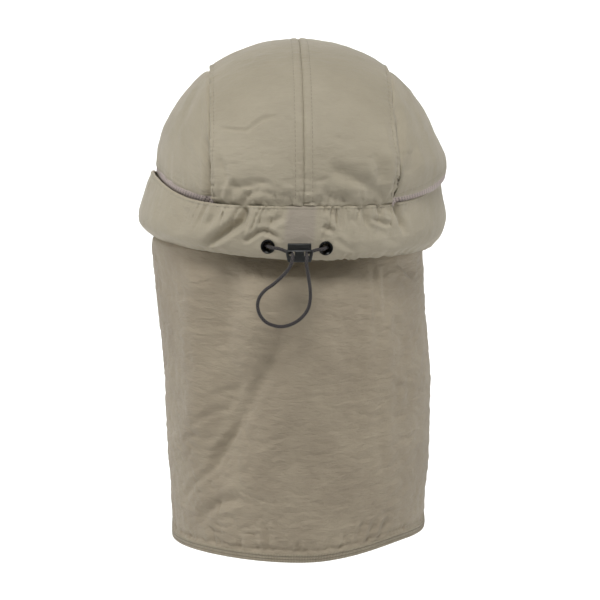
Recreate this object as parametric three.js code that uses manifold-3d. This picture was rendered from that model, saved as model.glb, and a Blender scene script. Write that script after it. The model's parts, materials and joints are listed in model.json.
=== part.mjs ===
// A legionnaire cap: a soft crown of four sewn panels, a gathered band with a drawcord in its hem, a neck flap
// that hangs from the band, and a stiff peak. Millimetres. X is the wearer's right, Y is forward and Z is up.
// The origin is the centre of the head opening, at the height of the rim.
// Angles round the cap are measured from the middle of the back, positive towards the wearer's right.
import * as THREE from "three";
import { mergeVertices } from "three/addons/utils/BufferGeometryUtils.js";
import Module from "manifold-3d";

// Crown
const CROWN_WIDTH = 174.5;
const CROWN_LENGTH = 206;
const CROWN_HEIGHT = 127.5;
const WALL_HEIGHT = 47; // rim to where the upright wall turns into the dome
const STRIP_WIDTH = 108; // between the two side seams, over the top
const PANEL_STEP = 0.9; // how far the strip's panels stand out over the side panels
const CREASE_DEPTH = 3;
const CLOTH = 1.4;
const SEAM_GAP = 0.3;

// Side vents, a strip of mesh between the side panels and the band
const VENT_RISE = 15.5; // how much higher the band's seam is at the ears than at the back
const VENT_GAP = 3.5;
const MESH_HEIGHT = 15;
const MESH_THICKNESS = 1;
const MESH_LEAN = 4.6;

// Band, with a tunnel for the drawcord in its hem
const BAND_HEIGHT = 31.5;
const RIM_RISE = 4.5; // how much higher the rim is at the ears than at the back
const RIM_TILT = 2.8; // how much the whole band leans down towards the right ear
const RUFFLE_DEPTH = 2.4;
const TUNNEL_HEIGHT = 14;
const TUNNEL_TAUTNESS = 0.9; // share of a fold's depth that the tunnel's lining holds out
const TUNNEL_DEPTH = 3.4;

// Neck flap
const FLAP_DROP = 177; // rim to the lowest point of the binding
const FLAP_OVERLAP = 9;
const FLAP_REACH = 112; // degrees that the flap goes round to each side
const FLAP_SETBACK = 12; // degrees that its front edges run back on their way down
const FLAP_FLARE = 2.6;
const FLAP_CORNER = 25;
const HEM_RISE_LEFT = 1.5; // how much higher the hem is at the sides than at the back
const HEM_RISE_RIGHT = 7.5;
const FLAP_FOLD = 4;
const BINDING_WIDTH = 5;
const BINDING_THICKNESS = 2.4;

// Peak
const PEAK_LENGTH = 68;
const PEAK_REACH = 62; // degrees of the rim on each side of the front that it is sewn to
const PEAK_THICKNESS = 2.6;
const PEAK_DROOP = 12;
const PEAK_ARCH = 16;
const PEAK_SPREAD = 0.12; // how much wider its front edge is than the rim behind it, as a share

// Eyelets
const EYELET_SPACING = 32.7;
const EYELET_HEIGHT = 7.8;
const EYELET_FLANGE = 8.4;
const EYELET_BORE = 5.5;
const EYELET_WALL = 0.5;
const EYELET_LIP = 0.8;

// Drawcord and its lock
const CORD = 2;
const LOCK_WIDTH = 15.4;
const LOCK_DEPTH = 7.6;
const LOCK_BODY_HEIGHT = 7;
const LOCK_WALL = 1.15;
const LOCK_SIDE_WALL = 0.8;
const LOCK_FLOOR = 1.1;
const LOCK_LIP = 0.9;
const LOCK_STANDOFF = 5.8;
const LOCK_OFFSET = -3; // the lock hangs a little to the left of the back seam
const BUTTON_STAND = 3.6;
const BUTTON_TRAVEL = 1;
const STRAND_HEIGHT = 4.9;
const RUNNING_GAP = 0.2;

// Colours
const KHAKI = 0xa89f8c;
const SHADED_KHAKI = 0x9f9581;
const MESH_GREY = 0x9a8f86;
const BLACK = 0x1b1a1c;
const CORD_GREY = 0x3a3534;

const HALF_WIDTH = CROWN_WIDTH / 2;
const HALF_LENGTH = CROWN_LENGTH / 2;
const DOME = CROWN_HEIGHT - WALL_HEIGHT;
const HALF_STRIP = STRIP_WIDTH / 2;
const HEM_DEPTH = CLOTH + TUNNEL_DEPTH + CLOTH;
const radians = THREE.MathUtils.degToRad;
const { smoothstep, lerp } = THREE.MathUtils;

// Sections of the upright crown wall. down: share of the way from the dome to the band. scale: of the crown's plan.
const WALL_SECTIONS = [
  { down: 0, scale: 1 },
  { down: 0.5, scale: 0.998 },
  { down: 1, scale: 0.965 },
];

// Sections of the band. drop: share of its height. shift and width: shares of half the crown's width. length: share
// of half its length.
const BAND_SECTIONS = [
  { drop: 0, shift: -0.015, width: 1, length: 0.97 },
  { drop: 0.2, shift: -0.026, width: 1.026, length: 0.978 },
  { drop: 0.4, shift: -0.031, width: 1.048, length: 0.985 },
  { drop: 0.6, shift: -0.04, width: 1.066, length: 0.992 },
  { drop: 0.75, shift: -0.047, width: 1.058, length: 0.99 },
  { drop: 0.88, shift: -0.042, width: 1.022, length: 0.98 },
  { drop: 1, shift: -0.036, width: 0.97, length: 0.955 },
];

// Sections of the flap. drop: share of its height. shift: share of half the crown's width. side and back: shares of
// the flap's flare that it stands outside the hem's lining.
const FLAP_SECTIONS = [
  { drop: 0, shift: -0.036, side: 0, back: 0 },
  { drop: 0.055, shift: -0.036, side: 0, back: 0 },
  { drop: 0.09, shift: -0.075, side: 1.5, back: 0.4 },
  { drop: 0.21, shift: -0.056, side: 1.55, back: 0.5 },
  { drop: 0.34, shift: -0.033, side: 1.45, back: 0.4 },
  { drop: 0.475, shift: -0.007, side: 1.35, back: 0.1 },
  { drop: 0.61, shift: -0.003, side: 1.1, back: -0.2 },
  { drop: 0.75, shift: 0, side: 0.75, back: -0.5 },
  { drop: 0.88, shift: 0, side: 0.05, back: -0.9 },
  { drop: 1, shift: 0, side: -0.4, back: -1.2 },
];

// Creases and swellings of the crown's back. across and height: where, as shares of half its width and of its height.
// turn: degrees from level. long and wide: shares of half its width. depth: share of the crease depth, in if positive.
const CROWN_CREASES = [
  { across: 1, height: 0.42, turn: 90, long: 0.13, wide: 0.5, depth: -1.6 },
  { across: -0.66, height: 0.46, turn: 86, long: 0.3, wide: 0.06, depth: 0.75 },
  { across: 0.7, height: 0.48, turn: 94, long: 0.3, wide: 0.06, depth: 0.75 },
  { across: -0.36, height: 0.3, turn: 28, long: 0.22, wide: 0.07, depth: 0.8 },
  { across: -0.1, height: 0.31, turn: -14, long: 0.24, wide: 0.06, depth: 0.7 },
  { across: 0.32, height: 0.32, turn: 6, long: 0.3, wide: 0.08, depth: 0.6 },
  { across: -0.42, height: 0.57, turn: 4, long: 0.2, wide: 0.04, depth: 0.3 },
  { across: 0.1, height: 0.42, turn: 0, long: 0.5, wide: 0.1, depth: -0.5 },
  { across: -0.7, height: 0.86, turn: 45, long: 0.3, wide: 0.35, depth: -0.5 },
  { across: 0.7, height: 0.86, turn: -45, long: 0.3, wide: 0.35, depth: -0.5 },
];

// Folds of the gathered band. at: degrees from the back at its seam. lean: degrees further round at the hem. wide:
// degrees. from and to: shares of its height. depth: share of the ruffle depth, in if positive.
const BAND_FOLDS = [
  { at: -20, lean: -13, wide: 3.2, from: -0.1, to: 0.85, depth: 1 },
  { at: -25, lean: -14, wide: 3, from: 0, to: 0.9, depth: -0.6 },
  { at: -31, lean: -12, wide: 3, from: 0, to: 0.8, depth: 0.6 },
  { at: -14, lean: -8, wide: 2.4, from: -0.1, to: 0.6, depth: -0.5 },
  { at: -44, lean: -5, wide: 3.5, from: -0.1, to: 0.6, depth: 0.5 },
  { at: 13, lean: 2, wide: 2.2, from: -0.1, to: 0.6, depth: 0.8 },
  { at: 17, lean: 3, wide: 2, from: -0.1, to: 0.9, depth: -0.6 },
  { at: 21, lean: 4, wide: 2.2, from: -0.1, to: 0.8, depth: 0.8 },
  { at: 28, lean: 8, wide: 2.6, from: -0.1, to: 0.85, depth: 0.7 },
  { at: 33, lean: 8, wide: 2.6, from: 0, to: 0.9, depth: -0.5 },
  { at: 40, lean: 6, wide: 2.4, from: -0.2, to: 0.75, depth: 1 },
];

// Folds of the flap. across: from -1 at its left front edge to 1 at its right, at the rim. lean: how far across it
// moves on its way to the hem. from and to: shares of its height. depth: share of the flap fold, in if positive.
const FLAP_FOLDS = [
  { across: 0.16, lean: -0.62, wide: 0.085, from: 0.25, to: 1.1, depth: 0.9 },
  { across: -0.36, lean: 0.02, wide: 0.05, from: 0.02, to: 0.6, depth: 0.5 },
  { across: -0.47, lean: -0.02, wide: 0.07, from: 0.05, to: 1.1, depth: -0.6 },
  { across: -0.17, lean: -0.02, wide: 0.05, from: 0.02, to: 0.45, depth: 0.45 },
  { across: 0.34, lean: 0.06, wide: 0.035, from: 0.02, to: 0.7, depth: -0.5 },
  { across: 0.42, lean: 0.26, wide: 0.035, from: -0.1, to: 0.3, depth: -0.8 },
  { across: 0.4, lean: 0.04, wide: 0.07, from: 0.3, to: 1.1, depth: 0.4 },
  { across: 0.62, lean: 0, wide: 0.06, from: 0.2, to: 1.1, depth: -0.35 },
  { across: -0.78, lean: 0.04, wide: 0.05, from: 0.1, to: 1.1, depth: 0.5 },
  { across: 0.8, lean: -0.04, wide: 0.05, from: 0.1, to: 1.1, depth: 0.5 },
];

// Where the drawcord runs: out of the hem's tunnel by the left eyelet, through the lock from behind, down and round
// the hanging loop, and back in by the right eyelet.
const CORD_POINTS = [
  [-42.55, -89.2, 7.85],
  [-34.95, -92.7, 8.15],
  [-22.65, -96.45, 8.85],
  [-21.3, -97.8, 8.7],
  [-20, -101.65, 8.2],
  [-18.4, -103.45, 7.8],
  [-14.6, -104.9, 7.3],
  [-8.75, -106.8, 5.2],
  [-7.35, -108.7, 4.9],
  [-7.05, -117.4, 4.2],
  [-7.25, -119.3, 2.4],
  [-7.9, -120, -0.3],
  [-10.3, -119, -4.45],
  [-17, -114.4, -11.55],
  [-22.7, -111.8, -16.05],
  [-25.7, -110, -20.15],
  [-26.7, -108.4, -24.8],
  [-25.4, -106.9, -30.15],
  [-22.05, -105.8, -34.35],
  [-17.35, -105.2, -36.6],
  [-12.75, -105, -37.2],
  [-7.5, -105.3, -35.95],
  [-1.7, -106.3, -32.1],
  [2.05, -107.8, -26.7],
  [3.2, -109.7, -20.7],
  [3, -112, -14.7],
  [2.15, -115.9, -9.45],
  [1.2, -119.2, -3.8],
  [0.6, -120, -0.3],
  [0.8, -119.3, 2.4],
  [0.85, -117.4, 4.2],
  [1.2, -108.8, 4.9],
  [2.35, -107, 5.2],
  [7.2, -104.9, 6.6],
  [10.2, -103.4, 6.75],
  [11.75, -101.6, 7.2],
  [13.1, -97.8, 7.7],
  [14.5, -96.45, 7.9],
  [26.75, -92.7, 7.15],
  [34.3, -89.2, 6.85],
];
const CORD_STEPS = 72;
const CORD_SIDES = 8;

// Rows and columns of the faceted walls: shares of a panel's height, and of the flap's reach to each side.
const DOME_ARCHES = spread(0, Math.PI, 18);
const SIDE_ROWS = [0, 0.05, 0.11, 0.2, 0.32, 0.47, 0.64, 0.82, 1];
const FLAP_ROWS = [0, 0.055, 0.09, 0.16, 0.25, 0.35, 0.46, 0.57, 0.68, 0.79, 0.9, 1];
const FLAP_COLUMNS = [-1, -0.985, -0.96, ...spread(-0.92, 0.92, 38), 0.96, 0.985, 1];

const wasm = await Module();
wasm.setup();

// The value of a table's column at any place between its rows, on a smooth curve through them.
function along(table, key, column, place) {
  const last = table.length - 1;
  const at = THREE.MathUtils.clamp(place, table[0][key], table[last][key]);
  let i = 0;
  while (i < last - 1 && table[i + 1][key] < at) i += 1;
  const slope = (a, b) => (table[b][column] - table[a][column]) / (table[b][key] - table[a][key]);
  const span = table[i + 1][key] - table[i][key];
  const s = (at - table[i][key]) / span;
  const into = slope(Math.max(i - 1, 0), i + 1) * span;
  const out = slope(i, Math.min(i + 2, last)) * span;
  const [a, b] = [table[i][column], table[i + 1][column]];
  return a + s * (into + s * (3 * (b - a) - 2 * into - out + s * (2 * (a - b) + into + out)));
}

// One closed mesh through rings of points, each a closed outline. The rings' ends meet if closed is true, and get a
// strip of faces between the outline's two halves if not.
function loft(rings, closed) {
  const size = rings[0].length;
  const corners = [];
  const last = closed ? rings.length : rings.length - 1;
  for (let i = 0; i < last; i += 1) {
    for (let j = 0; j < size; j += 1) {
      const [a, b] = [i * size + j, i * size + ((j + 1) % size)];
      const [c, d] = [((i + 1) % rings.length) * size + j, ((i + 1) % rings.length) * size + ((j + 1) % size)];
      corners.push(a, b, c, b, d, c);
    }
  }
  const cap = (start, turned) => {
    for (let j = 0; j < size / 2 - 1; j += 1) {
      const [a, b, c, d] = [j, j + 1, size - 1 - j, size - 2 - j].map((k) => start + k);
      corners.push(...(turned ? [a, b, c, b, d, c] : [a, c, b, b, c, d]));
    }
  };
  if (!closed) {
    cap(0, false);
    cap((rings.length - 1) * size, true);
  }
  const geometry = new THREE.BufferGeometry().setFromPoints(rings.flat()).setIndex(corners);
  return facingOut(geometry);
}

// The geometry with its faces pointing out, whichever way its rings were wound.
function facingOut(geometry) {
  const [place, index] = [geometry.getAttribute("position"), geometry.index.array];
  const corner = (k) => new THREE.Vector3().fromBufferAttribute(place, index[k]);
  let volume = 0;
  for (let i = 0; i < index.length; i += 3) volume += corner(i).dot(corner(i + 1).cross(corner(i + 2)));
  if (volume < 0) for (let i = 0; i < index.length; i += 3) [index[i + 1], index[i + 2]] = [index[i + 2], index[i + 1]];
  return geometry;
}

// The normal of a skin at a place, on the side that faces away from the cap's middle axis or up.
function normalOf(skin, u, v) {
  const small = 0.002;
  const du = skin(u + small, v).sub(skin(u - small, v));
  const dv = skin(u, v + small).sub(skin(u, v - small));
  const normal = du.cross(dv).normalize();
  const here = skin(u, v);
  const outward = new THREE.Vector3(here.x / HALF_WIDTH, here.y / HALF_LENGTH, Math.max(here.z, 0) / DOME);
  return normal.dot(outward) < 0 ? normal.negate() : normal;
}

// A wall of cloth: a skin and the same skin moved in by the thickness, joined round the edges.
function clothWall(skin, columns, rows, thickness) {
  const rings = columns.map((u) => {
    const outer = rows.map((v) => skin(u, v));
    const inner = rows.map((v, j) => outer[j].clone().addScaledVector(normalOf(skin, u, v), -thickness));
    return [...outer, ...inner.reverse()];
  });
  return loft(rings, false);
}

// Numbers evenly spread from one value to another.
function spread(from, to, steps) {
  return Array.from({ length: steps + 1 }, (_, i) => lerp(from, to, i / steps));
}

// How deep a place lies in the folds of a table: a smooth groove or ridge for each row.
function foldDepth(folds, key, place, drop) {
  return folds.reduce((sum, fold) => {
    const across = (place - fold[key] - fold.lean * drop) / fold.wide;
    const length = smoothstep(drop, fold.from, fold.from + 0.15) * (1 - smoothstep(drop, fold.to - 0.25, fold.to));
    return sum + fold.depth * length * Math.exp(-across * across);
  }, 0);
}

// How deep a place on the crown's back lies in its creases.
function creaseDepth(x, y, z) {
  const onBack = 1 - smoothstep(y, -0.1 * HALF_LENGTH, 0.3 * HALF_LENGTH);
  return CROWN_CREASES.reduce((sum, crease) => {
    const right = x / HALF_WIDTH - crease.across;
    const up = (z - crease.height * CROWN_HEIGHT) / HALF_WIDTH;
    const [c, s] = [Math.cos(radians(crease.turn)), Math.sin(radians(crease.turn))];
    const [on, off] = [(right * c + up * s) / crease.long, (up * c - right * s) / crease.wide];
    return sum + onBack * CREASE_DEPTH * crease.depth * Math.exp(-on * on - off * off);
  }, 0);
}

// Height of the seam between crown and band, which climbs towards the ears.
function seamHeight(angle) {
  return BAND_HEIGHT + VENT_RISE * Math.sin(angle) ** 6 - (RIM_TILT / 2) * Math.sin(angle) ** 3;
}

// Height of the rim, which climbs towards the ears and hangs a little to the right.
function rimHeight(angle) {
  return Math.sin(angle) * (RIM_RISE * Math.sin(angle) - RIM_TILT);
}

// The crown's plan at a height, as a share of its full width and length.
function planScale(z) {
  if (z >= WALL_HEIGHT) return Math.sqrt(Math.max(0, 1 - ((z - WALL_HEIGHT) / DOME) ** 2));
  return along(WALL_SECTIONS, "down", "scale", (WALL_HEIGHT - z) / (WALL_HEIGHT - BAND_HEIGHT));
}

// A point of the crown moved in by an inset and by the creases that it lies in.
function creased(x, y, z, inset) {
  const normal = new THREE.Vector3(x / HALF_WIDTH ** 2, y / HALF_LENGTH ** 2, Math.max(z - WALL_HEIGHT, 0) / DOME ** 2);
  return new THREE.Vector3(x, y, z).addScaledVector(normal.normalize(), -inset - creaseDepth(x, y, z));
}

// The strip that runs over the crown. arch: -1 to 0 up the back wall, 0 to PI over the dome, PI to PI + 1 down the
// front wall.
function stripSkin(x, arch) {
  const dome = THREE.MathUtils.clamp(arch, 0, Math.PI);
  const down = Math.abs(arch - dome);
  const slice = Math.sqrt(1 - (x / HALF_WIDTH) ** 2);
  const foot = seamHeight(Math.asin(x / HALF_WIDTH)) + SEAM_GAP;
  const z = down > 0 ? lerp(WALL_HEIGHT, foot, down) : WALL_HEIGHT + DOME * slice * Math.sin(dome);
  const scale = down > 0 ? planScale(z) : 1;
  return creased(x * scale, -HALF_LENGTH * slice * scale * Math.cos(dome), z, 0);
}

// The angle round the cap at which the side seam passes a place on the dome, given by its arch.
function seamAngleAt(arch) {
  const sine = (HALF_STRIP + SEAM_GAP) / HALF_WIDTH;
  return Math.atan2(sine, Math.sqrt(1 - sine * sine) * Math.cos(arch));
}

// A point at an angle and a height on the crown's side, moved in by an inset.
function sideAt(angle, z, inset) {
  const scale = planScale(z);
  return creased(HALF_WIDTH * scale * Math.sin(angle), -HALF_LENGTH * scale * Math.cos(angle), z, inset);
}

// A side panel. angle: round the cap. rise: 0 at its lower edge to 1 at the side seam.
function sidePanelSkin(angle, rise) {
  const seam = Math.acos(Math.min(1, (HALF_STRIP + SEAM_GAP) / (HALF_WIDTH * Math.abs(Math.sin(angle)))));
  const foot = seamHeight(angle) + VENT_GAP - WALL_HEIGHT;
  const lowest = foot > 0 ? Math.asin(foot / DOME) : foot / DOME;
  const latitude = lerp(lowest, seam, rise);
  return sideAt(angle, WALL_HEIGHT + DOME * (latitude > 0 ? Math.sin(latitude) : latitude), PANEL_STEP);
}

// The mesh strip behind a side panel's lower edge. fall: 0 at its top to 1 at its foot, behind the band.
function meshSkin(angle, fall) {
  const z = seamHeight(angle) + 2 * VENT_GAP - MESH_HEIGHT * fall;
  return sideAt(angle, z, PANEL_STEP + CLOTH + 2.5 * SEAM_GAP + MESH_LEAN * smoothstep(fall, 0, 0.5));
}

// The band's outer face, moved in by an inset. gathered: 1 with its folds, 0 without.
function bandSkin(angle, drop, inset = 0, gathered = 1) {
  const [shift, width, length] = ["shift", "width", "length"].map((c) => along(BAND_SECTIONS, "drop", c, drop));
  const sideways = HALF_WIDTH * width * Math.sin(angle);
  const back = -HALF_LENGTH * length * Math.cos(angle);
  const plain = Math.abs(sideways) / (EYELET_SPACING / 2 + EYELET_FLANGE / 2 + 1);
  const free = Math.max(smoothstep(plain, 0.95, 1.25), smoothstep(plain, 0.5, 0.7) * (1 - smoothstep(drop, 0.4, 0.6)));
  const depth = foldDepth(BAND_FOLDS, "at", THREE.MathUtils.radToDeg(angle), drop);
  const slack = depth > 0 ? 1 - TUNNEL_TAUTNESS * smoothstep(drop, 0.35, 0.55) : 1;
  const fold = gathered * free * slack * RUFFLE_DEPTH * depth;
  const normal = new THREE.Vector3(Math.sin(angle) / width / HALF_WIDTH, -Math.cos(angle) / length / HALF_LENGTH, 0);
  const z = lerp(seamHeight(angle) - SEAM_GAP, rimHeight(angle), drop);
  const point = new THREE.Vector3(sideways + shift * HALF_WIDTH, back, z);
  return point.addScaledVector(normal.normalize(), -inset - fold);
}

// The outline of the band at one angle: down its outer face, round the hem and up the lining to the shelf that closes
// the drawcord's tunnel, then back round the inside of the tunnel and up the inner face.
function bandOutline(angle, drops) {
  const rise = (point, height) => point.setZ(rimHeight(angle) + height);
  const lining = (inset, height) => rise(bandSkin(angle, 1, inset, 0), height);
  const shelfDrop = 1 - TUNNEL_HEIGHT / (seamHeight(angle) - rimHeight(angle));
  const shelf = (height) => rise(bandSkin(angle, shelfDrop, CLOTH + SEAM_GAP), height);
  return [
    ...drops.map((drop) => bandSkin(angle, drop)),
    lining(HEM_DEPTH, 0),
    lining(HEM_DEPTH, TUNNEL_HEIGHT),
    shelf(TUNNEL_HEIGHT),
    shelf(TUNNEL_HEIGHT - CLOTH),
    lining(HEM_DEPTH - CLOTH, TUNNEL_HEIGHT - CLOTH),
    lining(HEM_DEPTH - CLOTH, CLOTH),
    lining(CLOTH, CLOTH),
    ...drops
      .slice(0, -1)
      .reverse()
      .map((drop) => bandSkin(angle, drop, CLOTH)),
  ];
}

// Where the flap's cloth ends above the rim's zero height: a shallow V at the back and round corners at the front.
function flapFoot(across) {
  const [out, halfGirth] = [Math.abs(across), radians(FLAP_REACH - FLAP_SETBACK) * HALF_WIDTH];
  const sideRise = (across > 0 ? HEM_RISE_RIGHT : HEM_RISE_LEFT) * smoothstep(out, 0, 0.55);
  const inCorner = THREE.MathUtils.clamp(FLAP_CORNER - (1 - out) * halfGirth, 0, FLAP_CORNER);
  return BINDING_WIDTH - FLAP_DROP + sideRise + FLAP_CORNER - Math.sqrt(FLAP_CORNER ** 2 - inCorner ** 2);
}

// The neck flap's outer face. across: -1 at the left front edge to 1 at the right. drop: 0 at its top to 1.
function flapSkin(across, drop) {
  const top = FLAP_OVERLAP + rimHeight(across * radians(FLAP_REACH));
  const z = lerp(top, flapFoot(across), drop);
  const level = (top - z) / (FLAP_OVERLAP + FLAP_DROP - BINDING_WIDTH);
  const angle = across * radians(FLAP_REACH - FLAP_SETBACK * level);
  const [shift, side, back] = ["shift", "side", "back"].map((c) => along(FLAP_SECTIONS, "drop", c, level));
  const hem = BAND_SECTIONS.at(-1);
  const inset = HEM_DEPTH + 2 * SEAM_GAP;
  const width = HALF_WIDTH * hem.width - inset + FLAP_FLARE * side;
  const length = HALF_LENGTH * hem.length - inset + FLAP_FLARE * back;
  const fold = FLAP_FOLD * smoothstep(level, 0.05, 0.2) * foldDepth(FLAP_FOLDS, "across", across, level);
  const normal = new THREE.Vector3(Math.sin(angle) / width, -Math.cos(angle) / length, 0).normalize();
  const point = new THREE.Vector3(width * Math.sin(angle) + shift * HALF_WIDTH, -length * Math.cos(angle), z);
  return point.addScaledVector(normal, -fold);
}

// The binding sewn round the flap's front edges, corners and hem.
function bindingGeometry() {
  const sideDrops = FLAP_ROWS.slice(2, -1);
  const path = [
    ...sideDrops.map((drop) => [-1, drop]),
    ...FLAP_COLUMNS.map((across) => [across, 1]),
    ...sideDrops.toReversed().map((drop) => [1, drop]),
  ];
  const points = path.map(([across, drop]) => flapSkin(across, drop));
  const rings = path.map(([across, drop], i) => {
    const normal = normalOf(flapSkin, across, drop);
    const forward = points[Math.min(i + 1, path.length - 1)].clone().sub(points[Math.max(i - 1, 0)]).normalize();
    const outward = forward.cross(normal).normalize();
    const middle = points[i].clone().addScaledVector(normal, -CLOTH / 2);
    const corner = (out, up) =>
      middle.clone().addScaledVector(outward, out).addScaledVector(normal, (up * BINDING_THICKNESS) / 2);
    return [
      corner(SEAM_GAP, 1),
      corner(BINDING_WIDTH * 0.8, 1),
      corner(BINDING_WIDTH, 0.3),
      corner(BINDING_WIDTH, -0.3),
      corner(BINDING_WIDTH * 0.8, -1),
      corner(SEAM_GAP, -1),
    ];
  });
  return loft(rings, false);
}

// The peak's upper face. across: -1 to 1 along the rim. out: 0 under the rim to 1 at its front edge.
function peakSkin(across, out) {
  const angle = Math.PI - across * radians(PEAK_REACH);
  const root = bandSkin(angle, 1, CLOTH, 0);
  const reach = Math.sqrt(Math.max(0, 1 - Math.abs(across) ** 2.6));
  const x = root.x + PEAK_SPREAD * out * reach * (root.x - HALF_WIDTH * BAND_SECTIONS.at(-1).shift);
  const y = root.y + PEAK_LENGTH * reach * out;
  const arch = PEAK_ARCH * (root.x / HALF_WIDTH) ** 2;
  return new THREE.Vector3(x, y, root.z - SEAM_GAP - out * reach * (PEAK_DROOP + arch));
}

// A geometry's faces as a solid that can be cut.
function solidOf(geometry) {
  const bare = (geometry.index ? geometry.toNonIndexed() : geometry.clone()).deleteAttribute("normal");
  const merged = mergeVertices(bare.deleteAttribute("uv"), 1e-4);
  return new wasm.Manifold(
    new wasm.Mesh({
      numProp: 3,
      vertProperties: merged.getAttribute("position").array,
      triVerts: new Uint32Array(merged.index.array),
    }),
  );
}

// A cut solid's faces as a geometry.
function geometryOf(solid) {
  const { vertProperties, triVerts } = solid.getMesh();
  const place = new THREE.BufferAttribute(new Float32Array(vertProperties), 3);
  return new THREE.BufferGeometry().setAttribute("position", place).setIndex(new THREE.BufferAttribute(triVerts, 1));
}

// Where an eyelet sits on the band, and the turn that lays its axis along the band's normal.
function eyeletSeat(side) {
  const girth = HALF_WIDTH * along(BAND_SECTIONS, "drop", "width", 1 - EYELET_HEIGHT / BAND_HEIGHT);
  const angle = Math.asin((side * EYELET_SPACING) / 2 / girth);
  const drop = 1 - EYELET_HEIGHT / (seamHeight(angle) - rimHeight(angle));
  const normal = normalOf((u, v) => bandSkin(u, v), angle, drop);
  const turn = new THREE.Quaternion().setFromUnitVectors(new THREE.Vector3(0, 1, 0), normal);
  return { place: bandSkin(angle, drop), normal, turn };
}

// The gathered band with a hole through its outer face for each eyelet.
function bandGeometry() {
  const angles = [...spread(-60, 60, 44), ...spread(66, 114, 8), ...spread(127, 233, 8), ...spread(246, 294, 8)].map(radians);
  const drops = [0, 0.2, 0.42, 0.62, 0.78, 0.9, 1];
  const ring = solidOf(loft(angles.map((angle) => bandOutline(angle, drops)), true));
  const drill = new THREE.CylinderGeometry(holeRadius(), holeRadius(), CLOTH * 3, 20);
  const cut = [-1, 1].reduce((solid, side) => {
    const { place, normal, turn } = eyeletSeat(side);
    const at = place.clone().addScaledVector(normal, -CLOTH / 2);
    return solid.subtract(solidOf(drill.clone().applyQuaternion(turn).translate(at.x, at.y, at.z)));
  }, ring);
  return geometryOf(cut);
}

// Radius of the holes in the cloth that the eyelets' barrels pass through.
function holeRadius() {
  return EYELET_BORE / 2 + EYELET_WALL + SEAM_GAP;
}

// An eyelet pressed through the cloth: a lip on each face and a barrel between them, about the Y axis.
function eyeletGeometry() {
  const [bore, barrel, flange] = [EYELET_BORE / 2, EYELET_BORE / 2 + EYELET_WALL, EYELET_FLANGE / 2];
  const inner = -CLOTH - SEAM_GAP;
  const [rim, curl] = [barrel + EYELET_LIP / 3, inner - EYELET_WALL];
  const profile = [
    [bore, curl],
    [rim, curl],
    [rim, inner],
    [barrel, inner],
    [barrel, SEAM_GAP],
    [flange, SEAM_GAP],
    [flange - EYELET_LIP / 3, SEAM_GAP + EYELET_LIP],
    [bore + EYELET_LIP / 3, SEAM_GAP + EYELET_LIP],
    [bore, SEAM_GAP + EYELET_LIP / 2],
    [bore, curl],
  ];
  return new THREE.LatheGeometry(profile.map(([r, y]) => new THREE.Vector2(r, y)), 16);
}

// The lock's place: its back stands off the band, and its slot is where the cord's strands pass.
const LOCK_BACK = bandSkin(0, 0.82).y - LOCK_STANDOFF;
const SLOT_HEIGHT = CORD + 3 * RUNNING_GAP;
const SLOT_TOP = -LOCK_LIP;
const SLOT_FOOT = SLOT_TOP - SLOT_HEIGHT;
const CAVITY_FOOT = LOCK_FLOOR - LOCK_BODY_HEIGHT;
const CAVITY_WIDTH = LOCK_WIDTH - 2 * LOCK_SIDE_WALL;
const CAVITY_DEPTH = LOCK_DEPTH - 2 * LOCK_WALL;

// A box with its edges along the axes, from its lowest corner and its size.
function block(x, y, z, width, depth, height) {
  return solidOf(new THREE.BoxGeometry(width, depth, height).translate(x + width / 2, y + depth / 2, z + height / 2));
}

// A rounded plate in the XZ plane, extruded along Y by a depth with its front and back edges eased.
function roundedPlate(width, foot, height, corner, depth, ease) {
  const [top, bottom] = [width / 2 - ease, foot / 2 - ease];
  const shape = new THREE.Shape();
  shape.moveTo(-bottom + corner, ease);
  shape.lineTo(bottom - corner, ease);
  shape.quadraticCurveTo(bottom, ease, top, corner + ease);
  shape.lineTo(top, height - ease);
  shape.lineTo(-top, height - ease);
  shape.lineTo(-top, corner + ease);
  shape.quadraticCurveTo(-bottom, ease, -bottom + corner, ease);
  const options = { depth: depth - 2 * ease, bevelSize: ease, bevelThickness: ease, bevelSegments: 2, curveSegments: 6 };
  return new THREE.ExtrudeGeometry(shape, options).rotateX(Math.PI / 2).translate(0, depth / 2 - ease, 0);
}

// The lock's cup: a slot from back to front for the strands, and a cavity from above for the button. Its middle is at
// the origin, and its top at z = 0.
function lockBodyGeometry() {
  const plate = roundedPlate(LOCK_WIDTH, LOCK_WIDTH * 0.86, LOCK_BODY_HEIGHT, LOCK_BODY_HEIGHT * 0.3, LOCK_DEPTH, 0.7);
  const cup = solidOf(plate.translate(0, 0, -LOCK_BODY_HEIGHT));
  const slotWidth = CAVITY_WIDTH - 2 * RUNNING_GAP;
  const slot = block(-slotWidth / 2, -LOCK_DEPTH, SLOT_FOOT, slotWidth, 2 * LOCK_DEPTH, SLOT_HEIGHT);
  const cavity = block(-CAVITY_WIDTH / 2, -CAVITY_DEPTH / 2, CAVITY_FOOT, CAVITY_WIDTH, CAVITY_DEPTH, LOCK_BODY_HEIGHT);
  return geometryOf(cup.subtract(slot).subtract(cavity));
}

// The lock's button: a ribbed bar on a tongue with a window that the strands pass through in every position.
function lockButtonGeometry() {
  const [width, depth] = [CAVITY_WIDTH - 2 * RUNNING_GAP, CAVITY_DEPTH - 2 * RUNNING_GAP];
  const foot = CAVITY_FOOT + BUTTON_TRAVEL + RUNNING_GAP;
  const windowWidth = width - 2 * LOCK_SIDE_WALL;
  const bar = block(-width / 2, -depth / 2, foot, width, depth, BUTTON_STAND - foot);
  const window = block(-windowWidth / 2, -depth, SLOT_FOOT, windowWidth, 2 * depth, SLOT_HEIGHT + BUTTON_TRAVEL);
  return geometryOf(bar.subtract(window));
}

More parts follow.
